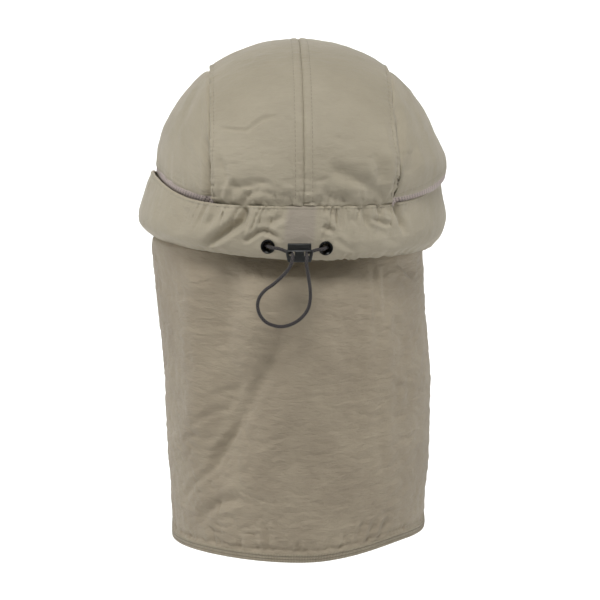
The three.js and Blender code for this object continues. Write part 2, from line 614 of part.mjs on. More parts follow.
// The drawcord, a round section swept along its route.
function cordGeometry() {
  const route = new THREE.CatmullRomCurve3(CORD_POINTS.map((point) => new THREE.Vector3(...point)), false, "centripetal");
  const section = new THREE.Shape(
    spread(0, 2 * Math.PI, CORD_SIDES)
      .slice(0, -1)
      .map((turn) => new THREE.Vector2((Math.cos(turn) * CORD) / 2, (Math.sin(turn) * CORD) / 2)),
  );
  return new THREE.ExtrudeGeometry(section, { extrudePath: route, steps: CORD_STEPS });
}

const cloth = new THREE.MeshStandardMaterial({ color: KHAKI, roughness: 0.85, side: THREE.DoubleSide });
const flapCloth = new THREE.MeshStandardMaterial({ color: SHADED_KHAKI, roughness: 0.85, side: THREE.DoubleSide });
const net = new THREE.MeshStandardMaterial({ color: MESH_GREY, roughness: 0.9 });
const blackPlastic = new THREE.MeshStandardMaterial({ color: BLACK, roughness: 0.45 });
const blackMetal = new THREE.MeshStandardMaterial({ color: BLACK, roughness: 0.35, metalness: 0.6 });
const shockCord = new THREE.MeshStandardMaterial({ color: CORD_GREY, roughness: 0.7 });

const cap = new THREE.Group();

// Adds a piece to the cap, or to a group of it, and gives it back.
function addPiece(name, geometry, material, parent = cap) {
  const piece = new THREE.Mesh(geometry, material);
  piece.name = name;
  parent.add(piece);
  return piece;
}

const sides = [
  { name: "left", sign: -1 },
  { name: "right", sign: 1 },
];

const archRows = [-1, -0.66, -0.33, ...DOME_ARCHES, Math.PI + 0.5, Math.PI + 1];
for (const { name, sign } of sides) {
  const across = spread(SEAM_GAP / 2, HALF_STRIP - SEAM_GAP, 6).map((x) => sign * x);
  addPiece(`top_panel_${name}`, clothWall(stripSkin, across, archRows, CLOTH), cloth);
  const around = DOME_ARCHES.map((arch) => sign * seamAngleAt(arch));
  addPiece(`side_panel_${name}`, clothWall(sidePanelSkin, around, SIDE_ROWS, CLOTH), cloth);
  addPiece(`mesh_vent_${name}`, clothWall(meshSkin, around.slice(1, -1), spread(0, 1, 3), MESH_THICKNESS), net);
}

const peakColumns = spread(-1.45, 1.45, 22).map(Math.sin);
addPiece("gathered_band", bandGeometry(), cloth);
addPiece("neck_flap", clothWall(flapSkin, FLAP_COLUMNS, FLAP_ROWS, CLOTH), flapCloth);
addPiece("flap_binding", bindingGeometry(), cloth);
addPiece("peak", clothWall(peakSkin, peakColumns, spread(0, 1, 5), PEAK_THICKNESS), cloth);

for (const { name, sign } of sides) {
  const { place, turn } = eyeletSeat(sign);
  const eyelet = addPiece(`eyelet_${name}`, eyeletGeometry(), blackMetal);
  eyelet.position.copy(place);
  eyelet.quaternion.copy(turn);
}

const lock = new THREE.Group();
lock.position.set(LOCK_OFFSET, LOCK_BACK - LOCK_DEPTH / 2, STRAND_HEIGHT + LOCK_LIP + SLOT_HEIGHT / 2);
cap.add(lock);
addPiece("lock_body", lockBodyGeometry(), blackPlastic, lock);
addPiece("lock_button", lockButtonGeometry(), blackPlastic, lock);
addPiece("drawcord", cordGeometry(), shockCord);

export default cap;
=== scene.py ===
"""A legionnaire cap seen from behind: a sewn crown, a gathered band with a drawcord, a neck flap and a peak.

All lengths are metres. X is the wearer's right, Y is forward and Z is up, with the origin in the middle of the head
opening. Angles round the cap are radians from the middle of the back, positive towards the wearer's right.
"""

import json
import logging
import math
from dataclasses import dataclass
from enum import Enum
from typing import Callable, Sequence

import bpy
import numpy as np
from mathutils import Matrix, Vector

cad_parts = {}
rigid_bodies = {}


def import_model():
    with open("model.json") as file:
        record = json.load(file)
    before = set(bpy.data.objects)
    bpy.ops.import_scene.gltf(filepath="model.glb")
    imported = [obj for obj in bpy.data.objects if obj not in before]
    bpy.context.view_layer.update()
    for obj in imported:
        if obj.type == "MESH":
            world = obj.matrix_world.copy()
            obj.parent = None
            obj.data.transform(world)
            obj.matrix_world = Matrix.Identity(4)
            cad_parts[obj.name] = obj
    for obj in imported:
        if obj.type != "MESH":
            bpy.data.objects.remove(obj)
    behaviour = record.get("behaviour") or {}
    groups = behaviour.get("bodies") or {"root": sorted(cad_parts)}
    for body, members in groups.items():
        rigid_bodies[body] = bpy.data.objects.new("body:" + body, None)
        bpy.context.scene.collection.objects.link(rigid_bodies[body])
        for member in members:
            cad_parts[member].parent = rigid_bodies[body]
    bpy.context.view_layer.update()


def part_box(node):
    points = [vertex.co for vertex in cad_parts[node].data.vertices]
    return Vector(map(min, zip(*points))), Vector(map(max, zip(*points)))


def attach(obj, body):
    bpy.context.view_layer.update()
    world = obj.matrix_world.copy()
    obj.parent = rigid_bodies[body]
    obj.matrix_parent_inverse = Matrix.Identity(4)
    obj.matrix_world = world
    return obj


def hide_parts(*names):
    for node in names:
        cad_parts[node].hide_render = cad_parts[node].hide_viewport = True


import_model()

log = logging.getLogger("cap")
MM = 0.001
ROOT = "cap"
FLAT_RADIUS = 95 * MM  # turns an angle round the crown or the band into a length on the flat cloth
Skin = Callable[[np.ndarray, np.ndarray], np.ndarray]


# Shapes


def smooth(value: np.ndarray, low: float, high: float) -> np.ndarray:
    """A soft step.

    Args:
        value: Where to take it.
        low: Where it starts to rise from 0.
        high: Where it reaches 1.

    Returns:
        Numbers from 0 to 1.
    """
    share = np.clip((value - low) / (high - low), 0, 1)
    return share * share * (3 - 2 * share)


def bump(distance: np.ndarray, wide: float) -> np.ndarray:
    """A bell curve of a distance, 1 at nothing and gone at about twice its width."""
    return np.exp(-((distance / wide) ** 2))


@dataclass(frozen=True)
class Profile:
    """A smooth curve through a table of values.

    Args:
        places: Where the values stand, in rising order.
        values: The values.
    """

    places: tuple[float, ...]
    values: tuple[float, ...]

    def at(self, place: np.ndarray) -> np.ndarray:
        """The curve's values.

        Args:
            place: Where to read them.

        Returns:
            One value for each place.
        """
        places, values = np.array(self.places), np.array(self.values)
        last = len(places) - 1
        here = np.clip(place, places[0], places[-1])
        i = np.clip(np.searchsorted(places, here, side="left") - 1, 0, last - 1)
        before, after = np.maximum(i - 1, 0), np.minimum(i + 2, last)
        span = places[i + 1] - places[i]
        enter = (values[i + 1] - values[before]) / (places[i + 1] - places[before]) * span
        leave = (values[after] - values[i]) / (places[after] - places[i]) * span
        s = (here - places[i]) / span
        rise = values[i + 1] - values[i]
        return values[i] + s * (enter + s * (3 * rise - 2 * enter - leave + s * (enter + leave - 2 * rise)))


class Crumple:
    """Smooth random relief, from about -1 to 1, that is the same on every run."""

    def __init__(self, seed: int) -> None:
        """Draws the relief's slopes.

        Args:
            seed: Which relief it is.
        """
        turn = np.random.default_rng(seed).uniform(0, 2 * math.pi, (256, 256))
        self.slopes = np.stack([np.cos(turn), np.sin(turn)], axis=-1)

    def at(self, across: np.ndarray, up: np.ndarray) -> np.ndarray:
        """The relief's height.

        Args:
            across: Place along the first axis, in cells.
            up: Place along the second, in cells.

        Returns:
            One height for each place.
        """
        across, up = np.broadcast_arrays(across, up)
        i, j = np.floor(across).astype(int), np.floor(up).astype(int)
        x, y = across - i, up - j
        ease_x, ease_y = (t**3 * (t * (t * 6 - 15) + 10) for t in (x, y))
        total = np.zeros(x.shape)
        for right in (0, 1):
            for top in (0, 1):
                slope = self.slopes[(i + right) % 256, (j + top) % 256]
                weight = (ease_x if right else 1 - ease_x) * (ease_y if top else 1 - ease_y)
                total += weight * (slope[..., 0] * (x - right) + slope[..., 1] * (y - top))
        return 1.5 * total

    def valleys(self, across: np.ndarray, up: np.ndarray, wide: float) -> np.ndarray:
        """Narrow valleys along the lines where the relief passes nothing.

        Args:
            across: Place along the first axis, in cells.
            up: Place along the second, in cells.
            wide: Half a valley's width, as a share of the relief's height.

        Returns:
            Depths from 0 to 1.
        """
        return np.maximum(0, 1 - np.abs(self.at(across, up)) / wide) ** 1.5


@dataclass(frozen=True)
class View:
    """The main view of the cap, whose picture is taken as 600 wide and 600 high."""

    picture: float = 600
    azimuth: float = math.radians(2)
    elevation: float = math.radians(5)
    distance: float = 1.6
    lens: float = 157.4
    sensor: float = 36
    aim: tuple[float, float, float] = (1.2 * MM, 0, -31.2 * MM)

    def axes(self) -> tuple[np.ndarray, np.ndarray, np.ndarray]:
        """The view's directions.

        Returns:
            Its right, its up and its back.
        """
        flat, high = math.cos(self.elevation), math.sin(self.elevation)
        right = np.array([math.cos(self.azimuth), -math.sin(self.azimuth), 0])
        back = np.array([-math.sin(self.azimuth) * flat, -math.cos(self.azimuth) * flat, high])
        return right, np.cross(back, right), back

    def target(self) -> np.ndarray:
        """The point at the picture's middle."""
        turned = (math.cos(self.azimuth) * self.aim[0], -math.sin(self.azimuth) * self.aim[0], self.aim[2])
        return np.array(turned)

    def seen(self, point: np.ndarray) -> tuple[np.ndarray, np.ndarray]:
        """Where points show in the picture.

        Args:
            point: Points, with X, Y and Z last.

        Returns:
            Places right from its left edge and down from its top.
        """
        right, up, back = self.axes()
        offset = point - self.target()
        scale = self.picture * self.lens / self.sensor / (self.distance - offset @ back)
        return self.picture / 2 + offset @ right * scale, self.picture / 2 - offset @ up * scale


VIEW = View()


@dataclass(frozen=True)
class Wrinkle:
    """A wrinkle of the cloth, placed by where it shows in the main view.

    Args:
        line: Its points in the picture, right and down.
        wide: Half its width in the picture.
        depth: In mm, in if positive.
        lips: Share of the depth by which the cloth beside it stands out.
    """

    line: tuple[tuple[float, float], ...]
    wide: float
    depth: float
    lips: float = 0.3

    def at(self, across: np.ndarray, down: np.ndarray) -> np.ndarray:
        """How deep places of the picture lie in it.

        Args:
            across: Places right.
            down: Places down.

        Returns:
            Depths in metres.
        """
        line = np.array(self.line, dtype=float)
        lengths = np.linalg.norm(np.diff(line, axis=0), axis=1)
        passed = np.concatenate([[0], np.cumsum(lengths)])
        nearest, share = np.full(across.shape, np.inf), np.zeros(across.shape)
        for start, end, length, before in zip(line, line[1:], lengths, passed):
            ahead = (end - start) / length
            x, y = across - start[0], down - start[1]
            along = np.clip(x * ahead[0] + y * ahead[1], 0, length)
            off = np.hypot(x - along * ahead[0], y - along * ahead[1])
            share = np.where(off < nearest, (before + along) / passed[-1], share)
            nearest = np.minimum(off, nearest)
        off = nearest / self.wide
        ends = smooth(share, 0, 0.22) * (1 - smooth(share, 0.7, 1))
        return self.depth * MM * ends * (bump(off, 1) - self.lips * bump(off - 2, 0.9))


def wrinkled(wrinkles: Sequence[Wrinkle], point: np.ndarray) -> np.ndarray:
    """How deep points on the cap's back lie in wrinkles.

    Args:
        wrinkles: The wrinkles.
        point: Points, with X, Y and Z last.

    Returns:
        Depths in metres.
    """
    across, down = VIEW.seen(point)
    on_back = 1 - smooth(point[..., 1], -20 * MM, 12 * MM)
    return on_back * sum(one.at(across, down) for one in wrinkles)


CROWN_WRINKLES = (
    Wrinkle(((335, 165), (500, 165)), 24, -4.4, 0),
    Wrinkle(((203, 130), (206.5, 162), (208, 214)), 3, 2.6, 0.2),
    Wrinkle(((197, 131), (198, 145), (202, 158)), 3, 0.8),
    Wrinkle(((395, 98), (401, 122), (400, 142), (395, 172)), 3.2, 2.3, 0.2),
    Wrinkle(((402, 150), (405, 176)), 7, 1.2),
    Wrinkle(((394, 172), (394.5, 192), (398, 204), (398, 218)), 3.2, 0.6, 0.2),
    Wrinkle(
        ((211, 125), (222, 128), (235, 130), (246, 131), (253, 126), (262, 119), (274, 117), (286, 119)), 2, 0.8, 0.5
    ),
    Wrinkle(((280, 113), (299, 128)), 2.2, 0.4, 0.5),
    Wrinkle(((219, 156), (224, 172), (228, 184)), 3, 1),
    Wrinkle(((233, 174), (228, 186), (222, 203)), 2.4, -0.9),
    Wrinkle(((225, 182), (236, 187), (246, 185), (262, 182), (275, 187)), 5, 2.6, 0),
    Wrinkle(((241, 209), (245, 197), (252, 191), (263, 191), (283, 194)), 2.8, 2, 0),
    Wrinkle(((252, 176), (270, 180), (283, 186), (301, 195)), 3, -0.8, 0),
    Wrinkle(((326, 168), (350, 176), (368, 186), (382, 203)), 7, 2.8, 0),
    Wrinkle(((316, 181), (330, 179)), 2.5, 0.6),
    Wrinkle(((319, 190), (335, 197), (356, 200)), 5, 2.2, 0),
    Wrinkle(((369, 152), (377, 168), (380, 186)), 5, 1.8, 0.2),
    Wrinkle(((384, 115), (385, 150), (387, 180), (390, 206)), 3.5, -1),
    Wrinkle(((378, 188), (384, 208)), 2.2, 0.9),
    Wrinkle(((214, 136), (216, 170), (216, 206)), 3, -0.7, 0.2),
    Wrinkle(((413, 125), (417, 160), (421, 190)), 4, -0.8),
    Wrinkle(((203, 76), (190, 100), (178, 125), (170, 153)), 3, 0.5, 0.5),
    Wrinkle(((196, 74), (183, 95), (171, 121)), 2.6, 0.5, 0.5),
    Wrinkle(((401, 88), (412, 105), (424, 130)), 2.8, 0.6, 0.5),
    Wrinkle(((258, 152), (270, 170)), 4, 0.5),
    Wrinkle(((336, 136), (352, 148)), 5, 0.5),
)

BAND_WRINKLES = (
    Wrinkle(((243, 196), (243, 214), (241, 221), (233, 227), (222, 234), (210, 242), (198, 250)), 4.2, 5.2, 0.15),
    Wrinkle(((218, 204), (215, 216), (205, 228)), 3, 1, 0.4),
    Wrinkle(
        ((239, 240), (247, 240), (253, 236), (259, 232), (264, 231), (270, 233), (275, 236), (283, 243)), 2.4, 2, 0.3
    ),
    Wrinkle(((277, 201), (283, 210), (282, 217), (275, 221), (263, 224)), 3.6, 1.3),
    Wrinkle(((266, 201), (267, 215)), 2, 1),
    Wrinkle(((272, 201), (271, 216)), 1.8, 0.8),
    Wrinkle(((326, 202), (326, 215)), 1.9, 1),
    Wrinkle(((334, 201), (333, 220)), 2.1, 1.2),
    Wrinkle(((342, 199), (342, 216), (341, 234)), 2.8, 1.5),
    Wrinkle(((357, 201), (358, 211)), 1.8, 0.9),
    Wrinkle(((363, 201), (364, 214), (370, 231)), 2.8, 1.3),
    Wrinkle(((322, 226), (328, 229), (335, 232)), 2.6, 1.5),
    Wrinkle(((326, 229), (323, 243)), 2, 0.9),
    Wrinkle(((369, 217), (378, 221), (386, 224), (393, 225)), 2.5, 1.3, 0.4),
    Wrinkle(((382, 198), (384, 208), (389, 214)), 2.2, 0.8),
    Wrinkle(((395, 184), (396, 205), (398, 214), (402, 223), (407, 238)), 2.8, 3, 0.2),
    Wrinkle(((376, 228), (388, 234), (396, 248)), 5, 0.9, 0.2),
    Wrinkle(((334, 238), (345, 246), (358, 253)), 3, 0.7, 0.4),
    Wrinkle(((323, 212), (331, 221), (337, 234)), 3, -0.8, 0.2),
    Wrinkle(((352, 204), (354, 225), (359, 249)), 4, -0.9, 0.2),
    Wrinkle(((256, 202), (255, 218), (248, 228), (234, 240)), 5, -1.2, 0.1),
    Wrinkle(((231, 205), (226, 218), (212, 232)), 4, -0.9, 0.1),
    Wrinkle(((186, 205), (180, 222), (172, 236)), 5, 0.7),
)

FLAP_WRINKLES = (
    Wrinkle(
        ((302, 300), (284, 340), (268, 365), (252, 392), (238, 420), (222, 452), (204, 482), (184, 510)), 19, 4, 0.3
    ),
    Wrinkle(((290, 330), (276, 352), (262, 380), (246, 410), (228, 442), (212, 472), (196, 498)), 6, 1.1, 0.5),
    Wrinkle(((230, 250), (227, 320), (229, 380), (222, 440)), 14, 3.2),
    Wrinkle(((195, 238), (194, 330), (199, 430), (204, 540)), 14, -3.2, 0.1),
    Wrinkle(((193, 330), (194, 376)), 3, 0.5),
    Wrinkle(((243, 387), (222, 392), (202, 400)), 2.8, 0.5, 0.4),
    Wrinkle(((232, 408), (213, 412), (203, 419), (193, 431)), 2.8, 0.6, 0.4),
    Wrinkle(((203, 432), (184, 441)), 3, 0.8),
    Wrinkle(((238, 420), (228, 437), (218, 452), (207, 470)), 3.5, 1.2, 0.4),
    Wrinkle(((218, 460), (207, 473), (195, 487)), 3, 1, 0.4),
    Wrinkle(((200, 475), (190, 490), (181, 503)), 3, 0.8, 0.4),
    Wrinkle(((246, 498), (222, 501), (208, 511), (197, 525)), 5, 2, 0.3),
    Wrinkle(((254, 468), (236, 476), (218, 482)), 3, 0.5, 0.4),
    Wrinkle(((386, 251), (394, 264), (402, 274), (417, 288)), 2.4, -1.5),
    Wrinkle(((396, 248), (405, 264), (419, 279)), 4.5, 1.8, 0.1),
    Wrinkle(((378, 255), (379, 290), (380, 340)), 2.8, -1, 0.4),
    Wrinkle(((369, 262), (371, 320), (366, 390)), 4.5, -0.7),
    Wrinkle(((388, 290), (388, 400), (392, 500)), 5.5, -0.9),
    Wrinkle(((408, 370), (410, 392), (406, 418)), 3.5, 0.9),
    Wrinkle(((389, 374), (402, 379), (419, 385)), 2.8, -0.7),
    Wrinkle(((395, 312), (397, 332)), 3, 0.5),
    Wrinkle(((400, 332), (405, 350), (403, 369)), 3.2, 0.6),
    Wrinkle(((348, 300), (352, 380), (344, 470)), 14, 1.4),
    Wrinkle(((213, 549), (212, 532), (209, 523)), 2.8, 1.3),
    Wrinkle(((268, 554), (267, 535), (264, 518)), 3.2, 1.5),
    Wrinkle(((298, 558), (299, 538)), 2.6, 1.1),
    Wrinkle(((355, 550), (361, 530), (367, 517)), 2.8, 1.1),
    Wrinkle(((366, 546), (372, 530), (378, 517)), 2.8, 1.1),
    Wrinkle(((377, 542), (384, 526), (389, 515)), 2.6, 1),
    Wrinkle(((326, 554), (331, 535)), 2.4, 0.9),
    Wrinkle(((341, 552), (347, 533)), 2.4, 0.9),
    Wrinkle(((240, 554), (240, 536)), 2.4, 0.9),
)


@dataclass(frozen=True)
class CapShape:
    """The main surfaces of the cap, which all its cloth follows."""

    half_width: float = 87.25 * MM
    half_length: float = 103 * MM
    wall_height: float = 47 * MM
    dome: float = 80.5 * MM
    half_strip: float = 54 * MM
    panel_step: float = 0.9 * MM
    cloth: float = 1.2 * MM
    gap: float = 0.3 * MM
    tuck: float = 1.8 * MM
    vent_rise: float = 15.5 * MM
    vent_gap: float = 3.5 * MM
    vent_show: float = 2.8 * MM
    mesh_height: float = 15 * MM
    mesh_lean: float = 2.4 * MM
    band_height: float = 31.5 * MM
    rim_rise: float = 4.5 * MM
    rim_tilt: float = 2.8 * MM
    rim_width: float = 0.97
    rim_length: float = 0.955
    rim_shift: float = -0.036
    hem_depth: float = 6.2 * MM
    tunnel_height: float = 14 * MM
    flap_drop: float = 177 * MM
    flap_overlap: float = 9 * MM
    flap_reach: float = math.radians(112)
    flap_setback: float = math.radians(12)
    flap_flare: float = 2.6 * MM
    flap_corner: float = 25 * MM
    hem_rise_left: float = 1.5 * MM
    hem_rise_right: float = 7.5 * MM
    binding: float = 5 * MM
    peak_length: float = 68 * MM
    peak_inset: float = 1.4 * MM
    peak_reach: float = math.radians(62)
    peak_droop: float = 12 * MM
    peak_arch: float = 16 * MM
    peak_spread: float = 0.12
    eyelet_spacing: float = 32.7 * MM
    eyelet_flange: float = 8.4 * MM

    def seam_height(self, angle: np.ndarray) -> np.ndarray:
        """Height of the seam between crown and band."""
        side = np.sin(angle)
        return self.band_height + self.vent_rise * side**6 - self.rim_tilt / 2 * side**3

    def rim_height(self, angle: np.ndarray) -> np.ndarray:
        """Height of the rim."""
        return np.sin(angle) * (self.rim_rise * np.sin(angle) - self.rim_tilt)

    def plan_scale(self, z: np.ndarray) -> np.ndarray:
        """The crown's plan at a height.

        Args:
            z: Height above the rim.

        Returns:
            Shares of its full size.
        """
        wall = Profile((0, 0.5, 1), (1, 0.998, 0.965))
        down = (self.wall_height - z) / (self.wall_height - self.band_height)
        above = np.sqrt(np.maximum(0, 1 - ((z - self.wall_height) / self.dome) ** 2))
        return np.where(z >= self.wall_height, above, wall.at(down))

    def crown(self, x: np.ndarray, y: np.ndarray, z: np.ndarray, inset: np.ndarray) -> np.ndarray:
        """Points of the crown, moved in by an inset and by their wrinkles.

        Args:
            x: Place sideways.
            y: Place forwards.
            z: Height.
            inset: How far in.

        Returns:
            Points.
        """
        high = np.maximum(z - self.wall_height, 0)
        normal = np.stack([x / self.half_width**2, y / self.half_length**2, high / self.dome**2], axis=-1)
        normal /= np.linalg.norm(normal, axis=-1, keepdims=True)
        point = np.stack([x, y, z], axis=-1)
        return point - normal * (inset + wrinkled(CROWN_WRINKLES, point))[..., None]

    def strip(self, x: np.ndarray, arch: np.ndarray, inset: np.ndarray) -> np.ndarray:
        """The strip over the crown.

        Args:
            x: Place across it.
            arch: -1 to 0 up the back wall, 0 to pi over the dome, pi to pi + 1 down the front wall.
            inset: How far in.

        Returns:
            Points.
        """
        dome = np.clip(arch, 0, math.pi)
        down = np.abs(arch - dome)
        across = np.sqrt(1 - (x / self.half_width) ** 2)
        foot = self.seam_height(np.arcsin(x / self.half_width)) - self.tuck
        wall = self.wall_height + (foot - self.wall_height) * down
        z = np.where(down > 0, wall, self.wall_height + self.dome * across * np.sin(dome))
        scale = np.where(down > 0, self.plan_scale(z), 1)
        return self.crown(x * scale, -self.half_length * across * scale * np.cos(dome), z, inset)

    def side(self, angle: np.ndarray, z: np.ndarray, inset: np.ndarray) -> np.ndarray:
        """Points on the crown's side.

        Args:
            angle: Round the cap.
            z: Height.
            inset: How far in.

        Returns:
            Points.
        """
        scale = self.plan_scale(z)
        x, y = self.half_width * scale * np.sin(angle), -self.half_length * scale * np.cos(angle)
        return self.crown(x, y, z, inset)

    def side_panel(self, angle: np.ndarray, rise: np.ndarray, inset: np.ndarray) -> np.ndarray:
        """A side panel.

        Args:
            angle: Round the cap.
            rise: 0 at its lower edge to 1 at the side seam.
            inset: How far in.

        Returns:
            Points.
        """
        edge = (self.half_strip + self.gap) / (self.half_width * np.abs(np.sin(angle)))
        seam = np.arccos(np.minimum(1, edge))
        foot = (self.seam_height(angle) + self.vent_show - self.wall_height) / self.dome
        lowest = np.where(foot > 0, np.arcsin(foot), foot)
        latitude = lowest + (seam - lowest) * rise
        height = np.where(latitude > 0, np.sin(latitude), latitude)
        return self.side(angle, self.wall_height + self.dome * height, self.panel_step + inset)

    def seam_angle(self, arch: np.ndarray) -> np.ndarray:
        """The angle at which the side seam passes a place on the dome."""
        sine = (self.half_strip + self.gap) / self.half_width
        return np.arctan2(sine, math.sqrt(1 - sine * sine) * np.cos(arch))

    def net(self, angle: np.ndarray, fall: np.ndarray) -> np.ndarray:
        """The mesh strip.

        Args:
            angle: Round the cap.
            fall: 0 at its top to 1 at its foot behind the band.

        Returns:
            Points.
        """
        z = self.seam_height(angle) + 2 * self.vent_gap - self.mesh_height * fall
        lean = self.mesh_lean * (smooth(fall, 0.5, 0.9) + 0.5 * (1 - smooth(fall, 0.15, 0.3)))
        return self.side(angle, z, self.panel_step + 0.5 * MM + lean)

    def band(self, angle: np.ndarray, drop: np.ndarray, inset: np.ndarray) -> np.ndarray:
        """The band's outer face.

        Args:
            angle: Round the cap.
            drop: 0 at its seam to 1 at the rim.
            inset: How far in.

        Returns:
            Points.
        """
        places = (0, 0.2, 0.4, 0.6, 0.75, 0.88, 1)
        shift = Profile(places, (-0.015, -0.026, -0.031, -0.04, -0.047, -0.042, self.rim_shift)).at(drop)
        width = Profile(places, (1, 1.026, 1.048, 1.066, 1.058, 1.022, self.rim_width)).at(drop)
        length = Profile(places, (0.97, 0.978, 0.985, 0.992, 0.99, 0.98, self.rim_length)).at(drop)
        sideways = self.half_width * width * np.sin(angle)
        back = -self.half_length * length * np.cos(angle)
        normal = np.stack([np.sin(angle) / width, -np.cos(angle) / length * 0.85, np.zeros_like(width)], axis=-1)
        normal /= np.linalg.norm(normal, axis=-1, keepdims=True)
        top = self.seam_height(angle) - self.gap
        z = top + (self.rim_height(angle) - top) * drop
        point = np.stack([sideways + shift * self.half_width, back, z], axis=-1)
        return point - normal * inset[..., None]

    def flap_foot(self, across: np.ndarray) -> np.ndarray:
        """The height at which the flap's cloth ends.

        Args:
            across: -1 at the left front edge to 1 at the right.

        Returns:
            Heights.
        """
        out = np.abs(across)
        half_girth = (self.flap_reach - self.flap_setback) * self.half_width
        side_rise = np.where(across > 0, self.hem_rise_right, self.hem_rise_left) * smooth(out, 0, 0.55)
        in_corner = np.clip(self.flap_corner - (1 - out) * half_girth, 0, self.flap_corner)
        corner = self.flap_corner - np.sqrt(self.flap_corner**2 - in_corner**2)
        return self.binding - self.flap_drop + side_rise + corner

    def flap(self, across: np.ndarray, drop: np.ndarray, inset: np.ndarray) -> np.ndarray:
        """The neck flap's outer face.

        Args:
            across: -1 at the left front edge to 1 at the right.
            drop: 0 at its top to 1 at its foot.
            inset: How far in.

        Returns:
            Points.
        """
        top = self.flap_overlap + self.rim_height(across * self.flap_reach)
        z = top + (self.flap_foot(across) - top) * drop
        level = (top - z) / (self.flap_overlap + self.flap_drop - self.binding)
        angle = across * (self.flap_reach - self.flap_setback * level)
        places = (0, 0.03, 0.05, 0.21, 0.34, 0.475, 0.61, 0.75, 0.88, 1)
        leans = (self.rim_shift, self.rim_shift, -0.075, -0.056, -0.033, -0.007, -0.003, 0, 0, 0)
        shift = Profile(places, leans).at(level)
        side = Profile(places, (0, 0, 1.5, 1.55, 1.45, 1.35, 1.1, 0.75, 0.05, -0.4)).at(level)
        back = Profile(places, (0, 0, 0.4, 0.5, 0.4, 0.1, -0.2, -0.5, -0.9, -1.2)).at(level)
        room = self.hem_depth + 2 * self.gap
        width = self.half_width * self.rim_width - room + self.flap_flare * side
        length = self.half_length * self.rim_length - room + self.flap_flare * back
        hollow = Profile((0, 0.2, 0.36, 0.5, 0.62, 0.8), (13, 11, 3.5, -2, -1.5, 0)).at(np.abs(across)) * MM
        hollow *= bump(np.maximum(level - 0.04, 0), 0.062)
        normal = np.stack([np.sin(angle) / width, -np.cos(angle) / length, np.zeros_like(z)], axis=-1)
        normal /= np.linalg.norm(normal, axis=-1, keepdims=True)
        x, y = width * np.sin(angle) + shift * self.half_width, -length * np.cos(angle)
        return np.stack([x, y, z], axis=-1) - normal * (hollow + inset)[..., None]

    def peak(self, across: np.ndarray, out: np.ndarray) -> np.ndarray:
        """The peak's upper face.

        Args:
            across: -1 to 1 along its root.
            out: 0 under the rim to 1 at its front edge.

        Returns:
            Points.
        """
        angle = math.pi - across * self.peak_reach
        root = self.band(angle, np.ones_like(angle), np.full_like(angle, self.peak_inset))
        reach = np.sqrt(np.maximum(0, 1 - np.abs(across) ** 2.6))
        x = root[..., 0] + self.peak_spread * out * reach * (root[..., 0] - self.rim_shift * self.half_width)
        y = root[..., 1] + self.peak_length * reach * out
        arch = self.peak_arch * (root[..., 0] / self.half_width) ** 2
        return np.stack([x, y, root[..., 2] - self.gap - out * reach * (self.peak_droop + arch)], axis=-1)


# Meshes


def deselect() -> None:
    """Deselects every object, since an operator acts on all that is selected."""
    for each in bpy.context.scene.objects:
        each.select_set(False)


def choose(piece: bpy.types.Object) -> None:
    """Selects one object alone and makes it active.

    Args:
        piece: The object.
    """
    deselect()
    piece.select_set(True)
    bpy.context.view_layer.objects.active = piece


def apply_modifier(piece: bpy.types.Object, kind: str, settings: dict[str, object]) -> None:
    """Adds a modifier to a piece and applies it.

    Args:
        piece: The piece.
        kind: The modifier's type.
        settings: Its properties.
    """
    choose(piece)
    modifier = piece.modifiers.new(kind.lower(), kind)
    for name, value in settings.items():
        setattr(modifier, name, value)
    bpy.ops.object.modifier_apply(modifier=modifier.name)


def settle(piece: bpy.types.Object) -> None:
    """Puts a piece's place, turn and scale into its mesh."""
    choose(piece)
    bpy.ops.object.transform_apply(location=True, rotation=True, scale=True)


def smooth_shading(piece: bpy.types.Object, degrees: float = 60) -> None:
    """Shades a piece smooth, apart from edges sharper than an angle."""
    choose(piece)
    bpy.ops.object.shade_smooth_by_angle(angle=math.radians(degrees))


def cut_away(piece: bpy.types.Object, cutter: bpy.types.Object) -> None:
    """Cuts a piece with another, and removes the other."""
    apply_modifier(piece, "BOOLEAN", {"operation": "DIFFERENCE", "object": cutter, "solver": "EXACT"})
    bpy.data.objects.remove(cutter)


def lay_grid(name: str, points: np.ndarray, cut: np.ndarray) -> bpy.types.Object:
    """A grid whose points are laid on a surface, with its UV map on the flat cloth.

    Args:
        name: The piece's name.
        points: Rows by columns by 3.
        cut: The same points on the flat cloth, rows by columns by 2, in metres.

    Returns:
        The grid.
    """
    rows, columns = points.shape[:2]
    deselect()
    bpy.ops.mesh.primitive_grid_add(x_subdivisions=columns - 1, y_subdivisions=rows - 1, size=1)
    piece = bpy.context.object
    piece.name = piece.data.name = name
    mesh = piece.data
    flat = np.empty(len(mesh.vertices) * 3, dtype=np.float32)
    mesh.vertices.foreach_get("co", flat)
    flat = flat.reshape(-1, 3)
    i = np.rint((flat[:, 0] + 0.5) * (columns - 1)).astype(int)
    j = np.rint((flat[:, 1] + 0.5) * (rows - 1)).astype(int)
    mesh.vertices.foreach_set("co", points[j, i].astype(np.float32).ravel())
    corner = np.empty(len(mesh.loops), dtype=np.int32)
    mesh.loops.foreach_get("vertex_index", corner)
    mesh.uv_layers[0].data.foreach_set("uv", cut[j, i][corner].astype(np.float32).ravel())
    mesh.update()
    return piece


